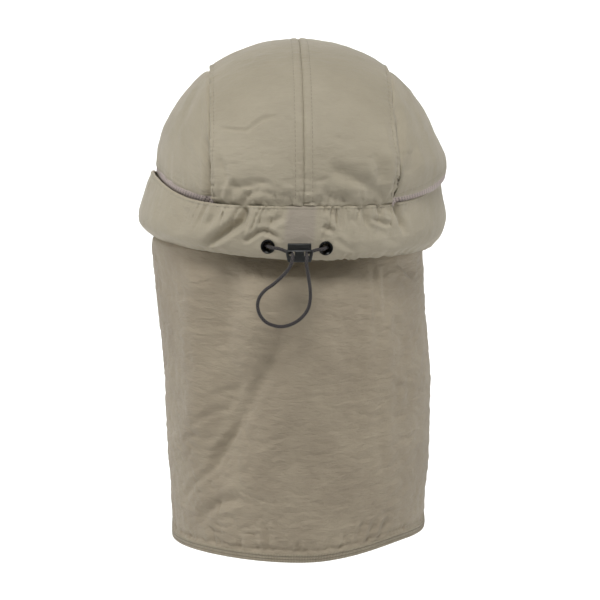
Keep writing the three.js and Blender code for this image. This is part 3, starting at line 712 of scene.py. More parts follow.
def grid_sheet(name: str, points: np.ndarray, cut: np.ndarray, wall: float, ring: bool = False) -> bpy.types.Object:
    """A sheet of cloth: a grid whose points are laid on a surface, then given a wall.

    Args:
        name: The piece's name.
        points: Outer face, rows by columns by 3.
        cut: The same points on the flat cloth, rows by columns by 2, in metres.
        wall: Thickness, inwards.
        ring: Whether the last column meets the first.

    Returns:
        The sheet.
    """
    piece = lay_grid(name, points, cut)
    face_outwards(piece)
    if ring:
        choose(piece)
        bpy.ops.object.mode_set(mode="EDIT")
        bpy.ops.mesh.select_all(action="SELECT")
        bpy.ops.mesh.remove_doubles(threshold=0.02 * MM)
        bpy.ops.object.mode_set(mode="OBJECT")
    apply_modifier(piece, "SOLIDIFY", {"thickness": wall, "offset": -1})
    smooth_shading(piece, 70)
    return piece


def face_outwards(piece: bpy.types.Object) -> None:
    """Turns an open sheet's faces away from the cap's middle axis, if most of them point at it.

    Args:
        piece: The sheet.
    """
    mesh = piece.data
    count = len(mesh.polygons)
    normal, centre = np.empty(count * 3, dtype=np.float32), np.empty(count * 3, dtype=np.float32)
    mesh.polygons.foreach_get("normal", normal)
    mesh.polygons.foreach_get("center", centre)
    normal, centre = normal.reshape(-1, 3), centre.reshape(-1, 3)
    centre[:, 2] = np.maximum(centre[:, 2], 0)
    if np.sum(normal * centre) < 0:
        choose(piece)
        bpy.ops.object.mode_set(mode="EDIT")
        bpy.ops.mesh.select_all(action="SELECT")
        bpy.ops.mesh.flip_normals()
        bpy.ops.object.mode_set(mode="OBJECT")


def closed_sweep(name: str, rings: np.ndarray, cut: np.ndarray) -> bpy.types.Object:
    """A solid strip swept along a path, closed at both ends.

    Args:
        name: The piece's name.
        rings: Points of its surface in rows and columns, with the first row or column repeated last.
        cut: The same points on the flat strip, in metres.

    Returns:
        The strip.
    """
    piece = lay_grid(name, rings, cut)
    choose(piece)
    bpy.ops.object.mode_set(mode="EDIT")
    bpy.ops.mesh.select_all(action="SELECT")
    bpy.ops.mesh.remove_doubles(threshold=0.01 * MM)
    bpy.ops.mesh.select_all(action="DESELECT")
    bpy.ops.mesh.select_non_manifold()
    bpy.ops.mesh.edge_face_add()
    bpy.ops.mesh.select_all(action="SELECT")
    bpy.ops.mesh.normals_make_consistent(inside=False)
    bpy.ops.object.mode_set(mode="OBJECT")
    smooth_shading(piece)
    return piece


def tube(name: str, path: np.ndarray, radius: float, sides: int) -> bpy.types.Object:
    """A round cord along a path, with its UV map in metres along and round it.

    Args:
        name: The piece's name.
        path: Points along the middle.
        radius: Half the cord's thickness.
        sides: How many faces go round it.

    Returns:
        The cord.
    """
    forward = np.gradient(path, axis=0)
    forward /= np.linalg.norm(forward, axis=1, keepdims=True)
    side = np.empty_like(path)
    side[0] = np.cross(forward[0], (0, 0, 1))
    for k in range(1, len(path)):
        side[k] = side[k - 1] - forward[k] * np.dot(side[k - 1], forward[k])
        side[k] /= np.linalg.norm(side[k])
    side[0] /= np.linalg.norm(side[0])
    up = np.cross(forward, side)
    turn = np.linspace(0, 2 * math.pi, sides + 1)
    rings = path[:, None] + radius * (
        side[:, None] * np.cos(turn)[None, :, None] + up[:, None] * np.sin(turn)[None, :, None]
    )
    along = np.concatenate([[0], np.cumsum(np.linalg.norm(np.diff(path, axis=0), axis=1))])
    cut = np.stack(np.broadcast_arrays(along[:, None], (turn * radius)[None]), axis=-1)
    return closed_sweep(name, rings, cut)


@dataclass(frozen=True)
class Stitching:
    """A row of machine stitches.

    Args:
        pitch: From one stitch to the next.
        length: Of one stitch.
        radius: Half its thread's thickness.
        lift: How far its middle stands above the cloth.
    """

    pitch: float = 2.9 * MM
    length: float = 2.3 * MM
    radius: float = 0.22 * MM
    lift: float = -0.06 * MM

    def sew(self, name: str, rows: Sequence[tuple[np.ndarray, np.ndarray]]) -> bpy.types.Object:
        """Sews rows of stitches as one piece.

        Args:
            name: The piece's name.
            rows: For each row its points and the cloth's normals there.

        Returns:
            The stitches.
        """
        deselect()
        bpy.ops.mesh.primitive_uv_sphere_add(segments=6, ring_count=4, radius=1)
        piece = bpy.context.object
        one = np.array([v.co[:] for v in piece.data.vertices])
        one = one[:, [2, 0, 1]] * (self.length / 2, self.radius, self.radius)
        faces = [tuple(p.vertices) for p in piece.data.polygons]
        places, axes = [], []
        for path, normals in rows:
            step = np.linalg.norm(np.diff(path, axis=0), axis=1)
            along = np.concatenate([[0], np.cumsum(step)])
            marks = np.arange(self.pitch / 2, along[-1], self.pitch)
            centre = np.stack([np.interp(marks, along, path[:, k]) for k in range(3)], axis=1)
            ahead = np.stack([np.interp(marks + 0.4 * self.length, along, path[:, k]) for k in range(3)], axis=1)
            behind = np.stack([np.interp(marks - 0.4 * self.length, along, path[:, k]) for k in range(3)], axis=1)
            normal = np.stack([np.interp(marks, along, normals[:, k]) for k in range(3)], axis=1)
            forward = ahead - behind
            forward /= np.linalg.norm(forward, axis=1, keepdims=True)
            side = np.cross(normal, forward)
            side /= np.linalg.norm(side, axis=1, keepdims=True)
            up = np.cross(forward, side)
            places.append(centre + up * self.lift)
            axes.append(np.stack([forward, side, up], axis=1))
        centre, turn = np.concatenate(places), np.concatenate(axes)
        points = (np.einsum("vk,nkc->nvc", one, turn) + centre[:, None]).reshape(-1, 3)
        every = [tuple(k + n * len(one) for k in face) for n in range(len(centre)) for face in faces]
        mesh = bpy.data.meshes.new(name)
        mesh.from_pydata(points.tolist(), [], every)
        old = piece.data
        piece.data = mesh
        bpy.data.meshes.remove(old)
        piece.name = name
        smooth_shading(piece, 80)
        return piece


def surface_row(skin: Skin, first: np.ndarray, second: np.ndarray) -> tuple[np.ndarray, np.ndarray]:
    """Points and outward normals along a line on a surface.

    Args:
        skin: The surface.
        first: The line's first coordinate.
        second: Its second.

    Returns:
        Points and normals.
    """
    first, second = (np.array(values, dtype=float) for values in np.broadcast_arrays(first, second))
    step = 1e-3
    points = skin(first, second)
    normal = np.cross(
        skin(first + step, second) - skin(first - step, second), skin(first, second + step) - skin(first, second - step)
    )
    normal /= np.linalg.norm(normal, axis=-1, keepdims=True)
    outwards = points * (1, 1, 0.4)
    normal *= np.where(np.sum(normal * outwards, axis=-1, keepdims=True) < 0, -1, 1)
    return points, normal


# Finishes


class Value:
    """A shader socket that takes part in sums and products."""

    def __init__(self, graph: "Graph", socket: bpy.types.NodeSocket) -> None:
        """Wraps a socket of a material's graph."""
        self.graph = graph
        self.socket = socket

    def maths(self, operation: str, *terms: object) -> "Value":
        """The result of a Math node.

        Args:
            operation: What the node does.
            terms: Values or numbers, in order.

        Returns:
            The result.
        """
        sockets = {index: term for index, term in enumerate(terms)}
        return self.graph.node("ShaderNodeMath", {"operation": operation}, sockets)

    def __add__(self, other: object) -> "Value":
        """The sum."""
        return self.maths("ADD", self, other)

    __radd__ = __add__

    def __sub__(self, other: object) -> "Value":
        """The difference."""
        return self.maths("SUBTRACT", self, other)

    def __rsub__(self, other: object) -> "Value":
        """The difference the other way round."""
        return self.maths("SUBTRACT", other, self)

    def __mul__(self, other: object) -> "Value":
        """The product."""
        return self.maths("MULTIPLY", self, other)

    __rmul__ = __mul__

    def wave(self) -> "Value":
        """The sine."""
        return self.maths("SINE", self)

    def size(self) -> "Value":
        """The absolute value."""
        return self.maths("ABSOLUTE", self)

    def step(self, low: float, high: float) -> "Value":
        """A soft step from 0 at low to 1 at high."""
        settings = {"interpolation_type": "SMOOTHSTEP"}
        return self.graph.node("ShaderNodeMapRange", settings, {"Value": self, "From Min": low, "From Max": high})


class Graph:
    """The nodes of one material."""

    def __init__(self, name: str) -> None:
        """Starts a material with a surface shader alone.

        Args:
            name: The material's name.
        """
        self.material = bpy.data.materials.new(name)
        self.material.use_nodes = True
        self.nodes = self.material.node_tree.nodes
        self.links = self.material.node_tree.links
        self.shader = next(node for node in self.nodes if node.type == "BSDF_PRINCIPLED")

    def node(self, kind: str, settings: dict[str, object], sockets: dict[object, object], out: object = 0) -> Value:
        """Adds a node.

        Args:
            kind: The node's type.
            settings: Its properties, set before its sockets.
            sockets: Values or links of its input sockets, by name or number.
            out: The output to return, by name or number.

        Returns:
            The output.
        """
        node = self.nodes.new(kind)
        for name, value in settings.items():
            setattr(node, name, value)
        for name, value in sockets.items():
            self.feed(node.inputs[name], value)
        return Value(self, node.outputs[out])

    def feed(self, socket: bpy.types.NodeSocket, value: object) -> None:
        """Links a value to a socket, or sets it.

        Args:
            socket: The socket.
            value: A link, a colour or a number.
        """
        if isinstance(value, Value):
            self.links.new(value.socket, socket)
        elif isinstance(value, tuple) and socket.type == "RGBA":
            socket.default_value = (*value, 1)
        else:
            socket.default_value = value

    def surface(self, sockets: dict[str, object]) -> bpy.types.Material:
        """Sets the surface shader's sockets.

        Args:
            sockets: Their values or links, by name.

        Returns:
            The material.
        """
        for name, value in sockets.items():
            self.feed(self.shader.inputs[name], value)
        return self.material

    def cloth_place(self) -> Value:
        """Places on the flat cloth, in metres."""
        return self.node("ShaderNodeUVMap", {}, {})

    def scaled(self, place: Value, scale: tuple[float, float, float]) -> Value:
        """A place multiplied along each axis."""
        return self.node("ShaderNodeVectorMath", {"operation": "MULTIPLY"}, {0: place, 1: scale})

    def part(self, place: Value, axis: str) -> Value:
        """One axis of a place."""
        return self.node("ShaderNodeSeparateXYZ", {}, {0: place}, axis)

    def noise(self, place: Value, scale: float, detail: float, roughness: float, distortion: float = 0) -> Value:
        """Noise from 0 to 1 at a place."""
        sockets = {"Vector": place, "Scale": scale, "Detail": detail, "Roughness": roughness, "Distortion": distortion}
        return self.node("ShaderNodeTexNoise", {}, sockets)

    def mix(self, share: object, first: object, second: object, blend: str = "MIX") -> Value:
        """A blend of two colours."""
        settings = {"data_type": "RGBA", "blend_type": blend}
        return self.node("ShaderNodeMix", settings, {0: share, 6: first, 7: second}, 2)

    def relief(self, height: Value, depth: float, strength: float = 1) -> Value:
        """A normal bent by a height."""
        return self.node("ShaderNodeBump", {}, {"Height": height, "Distance": depth, "Strength": strength}, "Normal")


def linear(colour: tuple[float, float, float]) -> tuple[float, float, float]:
    """A display colour of 0 to 255 as the light that it stands for."""
    shares = [c / 255 for c in colour]
    return tuple(c / 12.92 if c <= 0.04045 else ((c + 0.055) / 1.055) ** 2.4 for c in shares)


@dataclass(frozen=True)
class Nylon:
    """Thin crinkled nylon.

    Args:
        colour: Display colour of the lit cloth.
        shade: Display colour of its duller patches.
        crinkle: Depth of the small crinkles.
        level: How much longer the crinkles are across than up.
        patch: Whether the smooth stretch at the middle of the back is painted duller: painted sheen.
        patch_painted_sheen: Display colour of that stretch.
        weave: From one thread to the next.
    """

    colour: tuple[float, float, float] = (176, 167, 147)
    shade: tuple[float, float, float] = (167, 158, 138)
    crinkle: float = 0.4 * MM
    level: float = 2.2
    patch: bool = False
    patch_painted_sheen: tuple[float, float, float] = (160, 150, 139)
    weave: float = 0.75 * MM

    def dress(self, name: str) -> bpy.types.Material:
        """Makes the material.

        Args:
            name: Its name.

        Returns:
            The material.
        """
        graph = Graph(name)
        place = graph.cloth_place()
        long = graph.scaled(place, (1 / self.level, 1, 1))
        cloud = graph.noise(place, 22, 3, 0.6)
        crinkle = graph.noise(long, 420, 4, 0.62, 0.6)
        pleat = graph.noise(long, 130, 3, 0.55, 0.8)
        across, up = graph.part(place, "X"), graph.part(place, "Y")
        thread = 2 * math.pi / self.weave
        weave = (across * thread).wave() * (up * thread).wave()
        slub = graph.noise(graph.scaled(place, (300, 1600, 1)), 1, 2, 0.5)
        worn = graph.mix(cloud.step(0.3, 0.7), linear(self.shade), linear(self.colour))
        # Slubs vary the colour at random; the crinkle noise, which is also the bump's height, paints the crinkles'
        # hollows darker and their crests lighter: painted shade and painted highlight.
        tone = graph.mix((slub - 0.5) * 0.5 + (crinkle - 0.5) * 0.5 + 0.5, (0.9, 0.9, 0.9), (1.08, 1.08, 1.08))
        colour = graph.mix(1, worn, tone, "MULTIPLY")
        # The smooth stretch at the middle of the back gets a duller colour of the same cloth: painted sheen.
        if self.patch:
            beside = 1 - (across - 0.5 * MM).size().step(7 * MM, 11 * MM)
            inside = beside * (1 - (up + 10 * MM).size().step(9 * MM, 16 * MM))
            colour = graph.mix(inside * 0.6, colour, linear(self.patch_painted_sheen))
        height = crinkle - 0.5 + (pleat - 0.5) * 1.3 + weave * 0.05
        return graph.surface(
            {
                "Base Color": colour,
                "Roughness": 0.62 + (crinkle - 0.5) * 0.2,
                "Normal": graph.relief(height, self.crinkle),
                "Sheen Weight": 0.12,
                "Sheen Roughness": 0.45,
                "Specular IOR Level": 0.3,
            }
        )


@dataclass(frozen=True)
class Tape:
    """Ribbed stretch binding."""

    colour: tuple[float, float, float] = (188, 178, 156)
    # Colour of the ribs' grooves and the sunk stitch rows: painted shade.
    groove: tuple[float, float, float] = (128, 118, 100)
    rib: float = 0.9 * MM
    row_place: float = 9.2 * MM
    row_gap: float = 0.9 * MM

    def dress(self, name: str) -> bpy.types.Material:
        """Makes the material.

        Args:
            name: Its name.

        Returns:
            The material.
        """
        graph = Graph(name)
        place = graph.cloth_place()
        along, round_it = graph.part(place, "X"), graph.part(place, "Y")
        rib = (along * (2 * math.pi / self.rib)).wave() * 0.5 + 0.5
        sewn = ((round_it - self.row_place).size() - self.row_gap).size().step(0, 0.4 * MM)
        cloud = graph.noise(place, 160, 3, 0.6)
        # The ribs' grooves, the cloud's low places and the two sunk stitch rows take the darker groove colour: painted
        # shade in the bump's hollows.
        rib_painted_shade = graph.mix(rib * 0.35 + cloud * 0.5, linear(self.groove), linear(self.colour))
        colour = graph.mix(1 - sewn, rib_painted_shade, linear(self.groove))
        height = rib * 0.35 + sewn + cloud * 0.4
        return graph.surface(
            {
                "Base Color": colour,
                "Roughness": 0.8,
                "Normal": graph.relief(height, 0.3 * MM),
                "Sheen Weight": 0.1,
                "Specular IOR Level": 0.25,
            }
        )


@dataclass(frozen=True)
class Netting:
    """Knitted mesh whose round holes in offset rows are painted dark: painted shade for the dim inside seen through
    them.
    """

    colour: tuple[float, float, float] = (204, 190, 184)
    # Colour of the painted holes: painted shade.
    inside: tuple[float, float, float] = (112, 101, 96)
    pitch: float = 2.5 * MM

    def dress(self, name: str) -> bpy.types.Material:
        """Makes the material.

        Args:
            name: Its name.

        Returns:
            The material.
        """
        graph = Graph(name)
        place = graph.cloth_place()
        across, up = graph.part(place, "X"), graph.part(place, "Y")
        turn = 2 * math.pi / self.pitch
        first = ((across + up) * (turn / 2)).wave()
        second = ((across - up) * (turn / 2)).wave()
        hole = (first * second).size().step(0.55, 0.8)
        # The holes are painted in the dark inside colour: painted shade.
        colour = graph.mix(hole, linear(self.colour), linear(self.inside))
        height = 1 - hole + graph.noise(place, 900, 3, 0.6) * 0.3
        return graph.surface(
            {"Base Color": colour, "Roughness": 0.85, "Normal": graph.relief(height, 0.5 * MM), "Sheen Weight": 0.1}
        )


@dataclass(frozen=True)
class Thread:
    """Twisted sewing thread."""

    colour: tuple[float, float, float] = (168, 158, 139)

    def dress(self, name: str) -> bpy.types.Material:
        """Makes the material.

        Args:
            name: Its name.

        Returns:
            The material.
        """
        graph = Graph(name)
        place = graph.node("ShaderNodeTexCoord", {}, {}, "Object")
        sockets = {"Vector": place, "Scale": 900, "Distortion": 2, "Detail": 2}
        ply = graph.node("ShaderNodeTexWave", {"wave_type": "BANDS"}, sockets, 1)
        # The twist's grooves are painted darker: painted shade.
        ply_painted_shade = tuple(c * 0.75 for c in self.colour)
        colour = graph.mix(ply, linear(ply_painted_shade), linear(self.colour))
        return graph.surface(
            {"Base Color": colour, "Roughness": 0.6, "Normal": graph.relief(ply, 0.1 * MM), "Sheen Weight": 0.1}
        )


@dataclass(frozen=True)
class Moulded:
    """Black moulded plastic or enamelled metal, with rubbed edges."""

    colour: tuple[float, float, float] = (22, 23, 22)
    rubbed: tuple[float, float, float] = (52, 53, 50)
    roughness: float = 0.45
    metal: float = 0

    def dress(self, name: str) -> bpy.types.Material:
        """Makes the material.

        Args:
            name: Its name.

        Returns:
            The material.
        """
        graph = Graph(name)
        place = graph.node("ShaderNodeTexCoord", {}, {}, "Object")
        grain = graph.noise(place, 2600, 3, 0.6)
        patches = graph.noise(place, 420, 3, 0.6)
        edge = graph.node("ShaderNodeNewGeometry", {}, {}, "Pointiness").step(0.52, 0.62)
        colour = graph.mix(edge * patches, linear(self.colour), linear(self.rubbed))
        return graph.surface(
            {
                "Base Color": colour,
                "Roughness": self.roughness + (patches - 0.5) * 0.25,
                "Metallic": self.metal,
                "Normal": graph.relief(grain, 0.04 * MM),
            }
        )


@dataclass(frozen=True)
class Braid:
    """The braided sleeve of an elastic cord."""

    colour: tuple[float, float, float] = (66, 60, 59)
    # Colour between the strands: painted shade.
    groove: tuple[float, float, float] = (28, 25, 25)
    pitch: float = 1.7 * MM

    def dress(self, name: str) -> bpy.types.Material:
        """Makes the material.

        Args:
            name: Its name.

        Returns:
            The material.
        """
        graph = Graph(name)
        place = graph.cloth_place()
        along, round_it = graph.part(place, "X"), graph.part(place, "Y")
        turn = 2 * math.pi / self.pitch
        first = ((along + round_it * 1.1) * turn).wave()
        second = ((along - round_it * 1.1) * turn).wave()
        strand = first.maths("MAXIMUM", first, second).step(-0.2, 0.9)
        # Between the strands the braid takes the darker groove colour: painted shade.
        colour = graph.mix(strand, linear(self.groove), linear(self.colour))
        return graph.surface(
            {
                "Base Color": colour,
                "Roughness": 0.65,
                "Normal": graph.relief(strand, 0.12 * MM),
                "Sheen Weight": 0.15,
                "Sheen Roughness": 0.4,
            }
        )


class Finish(Enum):
    """The finishes of the cap, each with the record's material slot."""

    CROWN = ("crown_nylon", "crown_cloth", Nylon())
    BAND = ("band_nylon", "crown_cloth", Nylon(patch=True))
    # The flap's cloth is the crown's nylon in darker colours: painted shade for the less lit flap.
    FLAP = ("flap_nylon_painted_shade", "flap_cloth", Nylon((168, 156, 135), (157, 145, 125), 0.8 * MM, 3))
    TAPE = ("hem_tape", "binding", Tape())
    NET = ("vent_net", "vent_mesh", Netting())
    THREAD = ("sewing_thread", "crown_cloth", Thread())
    METAL = ("black_enamel", "black_metal", Moulded(roughness=0.32, metal=0.7))
    PLASTIC = ("black_moulding", "black_plastic", Moulded())
    CORD = ("cord_braid", "shock_cord", Braid())

    def dress(self, piece: bpy.types.Object, body: str = ROOT) -> None:
        """Gives a finished piece this finish and its body.

        Args:
            piece: The piece.
            body: The body that it moves with.
        """
        name, slot, finish = self.value
        material = bpy.data.materials.get(name) or finish.dress(name)
        piece.data.materials.clear()
        piece.data.materials.append(material)
        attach(piece, body)
        log.info("%s: %d faces, %s", piece.name, len(piece.data.polygons), name)


# The cap's parts


@dataclass(frozen=True)
class Drawcord:
    """The elastic drawcord, out by the left eyelet, through the lock, round its loop and in by the right eyelet."""

    diameter: float = 2 * MM
    spacing: float = 0.7 * MM
    sides: int = 14
    route: tuple[tuple[float, float, float], ...] = ()

    def path(self) -> np.ndarray:
        """The cord's middle line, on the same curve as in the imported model.

        Returns:
            Points at an even spacing.
        """
        points = np.array(self.route) * MM
        ends = [2 * points[0] - points[1], *points, 2 * points[-1] - points[-2]]
        line = []
        for a, b, c, d in zip(ends, ends[1:], ends[2:], ends[3:]):
            steps = [max(float(np.linalg.norm(q - p)) ** 0.5, 1e-6) for p, q in ((a, b), (b, c), (c, d))]
            first, middle, last = steps
            enter = ((b - a) / first - (c - a) / (first + middle) + (c - b) / middle) * middle
            leave = ((c - b) / middle - (d - b) / (middle + last) + (d - c) / last) * middle
            s = np.linspace(0, 1, 24, endpoint=False)[:, None]
            rise = c - b
            line.append(b + s * (enter + s * (3 * rise - 2 * enter - leave + s * (enter + leave - 2 * rise))))
        fine = np.concatenate([*line, points[-1:]])
        along = np.concatenate([[0], np.cumsum(np.linalg.norm(np.diff(fine, axis=0), axis=1))])
        marks = np.linspace(0, along[-1], int(along[-1] / self.spacing))
        return np.stack([np.interp(marks, along, fine[:, k]) for k in range(3)], axis=1)

    def build(self) -> None:
        path = self.path()
        piece = tube("elastic_drawcord", path, self.diameter / 2, self.sides)
        Finish.CORD.dress(piece)
        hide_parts("drawcord")


@dataclass(frozen=True)
class Crown:
    """The crown's four panels, its two mesh strips and their topstitching."""

    shape: CapShape = CapShape()
    stitch_from_seam: float = 4.9 * MM
    side_stitch: float = 2.6 * MM
    side_row: float = 0.06
    side_girth: float = 70 * MM
    wall_girth: float = 16 * MM
    dome_radius: float = 93 * MM
    net: float = 0.8 * MM

    def strip_relief(self, x: np.ndarray, arch: np.ndarray) -> np.ndarray:
        """How far in the strip lies from its plain surface: seams, puckers and crumples.

        Args:
            x: Place across the strip, positive on both sides.
            arch: Place along it.

        Returns:
            Insets in metres.
        """
        shape = self.shape
        out = np.abs(x)
        edge = shape.half_strip - out
        along = arch * FLAT_RADIUS
        sign = np.sign(x)
        low = 1 - smooth(arch, -0.6, 0.45)
        seam = 0.55 * bump(out, 0.6 * MM)
        seam -= 0.22 * smooth(out, 0.6 * MM, 1.6 * MM) * (1 - smooth(out, 4.2 * MM, 5 * MM))
        seam += 0.22 * bump(out - self.stitch_from_seam, 0.7 * MM)
        seam += 2.3 * (1 - smooth(edge, -0.4 * MM, 0.7 * MM)) + 0.4 * bump(edge - self.side_stitch, 0.7 * MM)
        seam -= 0.25 * smooth(edge, 0.5 * MM, 1 * MM) * (1 - smooth(edge, 2.2 * MM, 3.2 * MM))
        pucker = Crumple(3).at(along / (2.6 * MM), sign * 7.5) * bump(out, 4.5 * MM) * (0.15 + 0.9 * low)
        pucker += Crumple(4).at(along / (2.4 * MM), sign * 3.5) * bump(edge, 4 * MM) * (0.4 + 1.1 * low)
        crumple = 0.42 * Crumple(5).at(x / (21 * MM), along / (15 * MM))
        crumple += 0.2 * Crumple(6).at(x / (9 * MM), along / (6 * MM))
        crumple += 0.1 * Crumple(7).at(x / (4 * MM), along / (3 * MM))
        gather = 0.7 * Crumple(8).at(x / (4.2 * MM), arch * 2) * (1 - smooth(arch, -0.9, 0.12))
        gather += 0.9 * Crumple(9).valleys(x / (7 * MM), arch * 1.2, 0.22) * (1 - smooth(arch, -0.75, 0.05))
        tucked = 1.3 * (1 - smooth(arch, -1, -0.86)) + 1.3 * smooth(arch, math.pi + 0.86, math.pi + 1)
        return (seam + pucker + crumple * (1 + 0.6 * low) + gather + tucked) * MM

    def strip_skin(self, x: np.ndarray, arch: np.ndarray) -> np.ndarray:
        """The strip with its relief."""
        return self.shape.strip(x, arch, self.strip_relief(x, arch))

    def side_relief(self, angle: np.ndarray, rise: np.ndarray) -> np.ndarray:
        """How far in a side panel lies from its plain surface.

        Args:
            angle: Round the cap.
            rise: 0 at its lower edge to 1 at the side seam.

        Returns:
            Insets in metres.
        """
        side = np.sign(angle)
        along = angle * FLAT_RADIUS
        up = rise * self.side_girth
        low = 1 - smooth(rise, 0, 0.35)
        edge = 1.7 * bump(1 - rise, 0.026) + 0.5 * bump(rise, 0.015) + 0.2 * bump(rise - self.side_row, 0.012)
        crumple = 0.5 * Crumple(11).at(along / (20 * MM), up / (17 * MM) + side * 9)
        crumple += 0.25 * Crumple(12).at(along / (9 * MM), up / (7 * MM) + side * 5)
        crumple += 0.1 * Crumple(13).at(along / (4 * MM), up / (3 * MM) + side * 7)
        gather = 0.6 * Crumple(14).at(along / (4 * MM), side * 5.5) * low
        return (edge + crumple + gather) * MM

    def side_skin(self, angle: np.ndarray, rise: np.ndarray) -> np.ndarray:
        """A side panel with its relief."""
        return self.shape.side_panel(angle, rise, self.side_relief(angle, rise))

    def build_strip(self, side: str, sign: int) -> None:
        """Makes one of the two panels of the strip over the crown.

        Args:
            side: left or right.
            sign: -1 or 1.
        """
        shape = self.shape
        across = [np.arange(0.06, 7, 0.55), np.arange(7, 46.8, 0.95), np.arange(46.8, 53.6, 0.6), [54, 54.9]]
        across = np.concatenate(across) * MM * sign
        back = [np.linspace(-1, 0, 16)[:-1], np.linspace(0, 1.7, 190)[:-1]]
        arch = np.concatenate([*back, np.linspace(1.7, math.pi, 70), np.linspace(0, 1, 14)[1:] + math.pi])
        grid_x, grid_arch = np.meshgrid(across, arch)
        points = self.strip_skin(grid_x, grid_arch)
        dome = np.minimum(grid_arch, math.pi) * self.dome_radius
        down = np.where(grid_arch < 0, grid_arch * self.wall_girth, dome)
        piece = grid_sheet(f"crown_panel_{side}", points, np.stack([grid_x, down], axis=-1), shape.cloth)
        Finish.CROWN.dress(piece)
        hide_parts(f"top_panel_{side}")

    def build_side(self, side: str, sign: int) -> None:
        """Makes one side panel.

        Args:
            side: left or right.
            sign: -1 or 1.
        """
        arch = np.linspace(0.004, math.pi - 0.004, 150)
        angle = self.shape.seam_angle(arch) * sign
        grid_angle, grid_rise = np.meshgrid(angle, np.concatenate([[0, 0.008, 0.016], np.linspace(0.03, 1, 70)]))
        points = self.side_skin(grid_angle, grid_rise)
        cut = np.stack([grid_angle * FLAT_RADIUS, grid_rise * self.side_girth], axis=-1)
        piece = grid_sheet(f"crown_side_{side}", points, cut, self.shape.cloth)
        Finish.CROWN.dress(piece)
        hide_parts(f"side_panel_{side}")

    def build_net(self, side: str, sign: int) -> None:
        """Makes one mesh strip.

        Args:
            side: left or right.
            sign: -1 or 1.
        """
        arch = np.linspace(0.12, math.pi - 0.12, 140)
        angle = self.shape.seam_angle(arch) * sign
        grid_angle, grid_fall = np.meshgrid(angle, np.linspace(0, 1, 18))
        points = self.shape.net(grid_angle, grid_fall)
        cut = np.stack([grid_angle * FLAT_RADIUS, grid_fall * self.shape.mesh_height], axis=-1)
        piece = grid_sheet(f"vent_net_{side}", points, cut, self.net)
        Finish.NET.dress(piece)
        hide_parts(f"mesh_vent_{side}")

    def build_stitches(self) -> None:
        """Sews the rows along the crown's seams."""
        arch = np.linspace(-0.95, math.pi + 0.9, 700)
        edge = self.shape.half_strip - self.side_stitch
        rows = [
            surface_row(self.strip_skin, np.full_like(arch, place), arch)
            for place in (-self.stitch_from_seam, self.stitch_from_seam, -edge, edge)
        ]
        for sign in (-1, 1):
            angle = self.shape.seam_angle(np.linspace(0.06, math.pi - 0.06, 400)) * sign
            rows.append(surface_row(self.side_skin, angle, np.full_like(angle, self.side_row)))
        Finish.THREAD.dress(Stitching().sew("crown_topstitching", rows))

    def build(self) -> None:
        """Makes the whole crown."""
        for side, sign in (("left", -1), ("right", 1)):
            self.build_strip(side, sign)
            self.build_side(side, sign)
            self.build_net(side, sign)
        self.build_stitches()


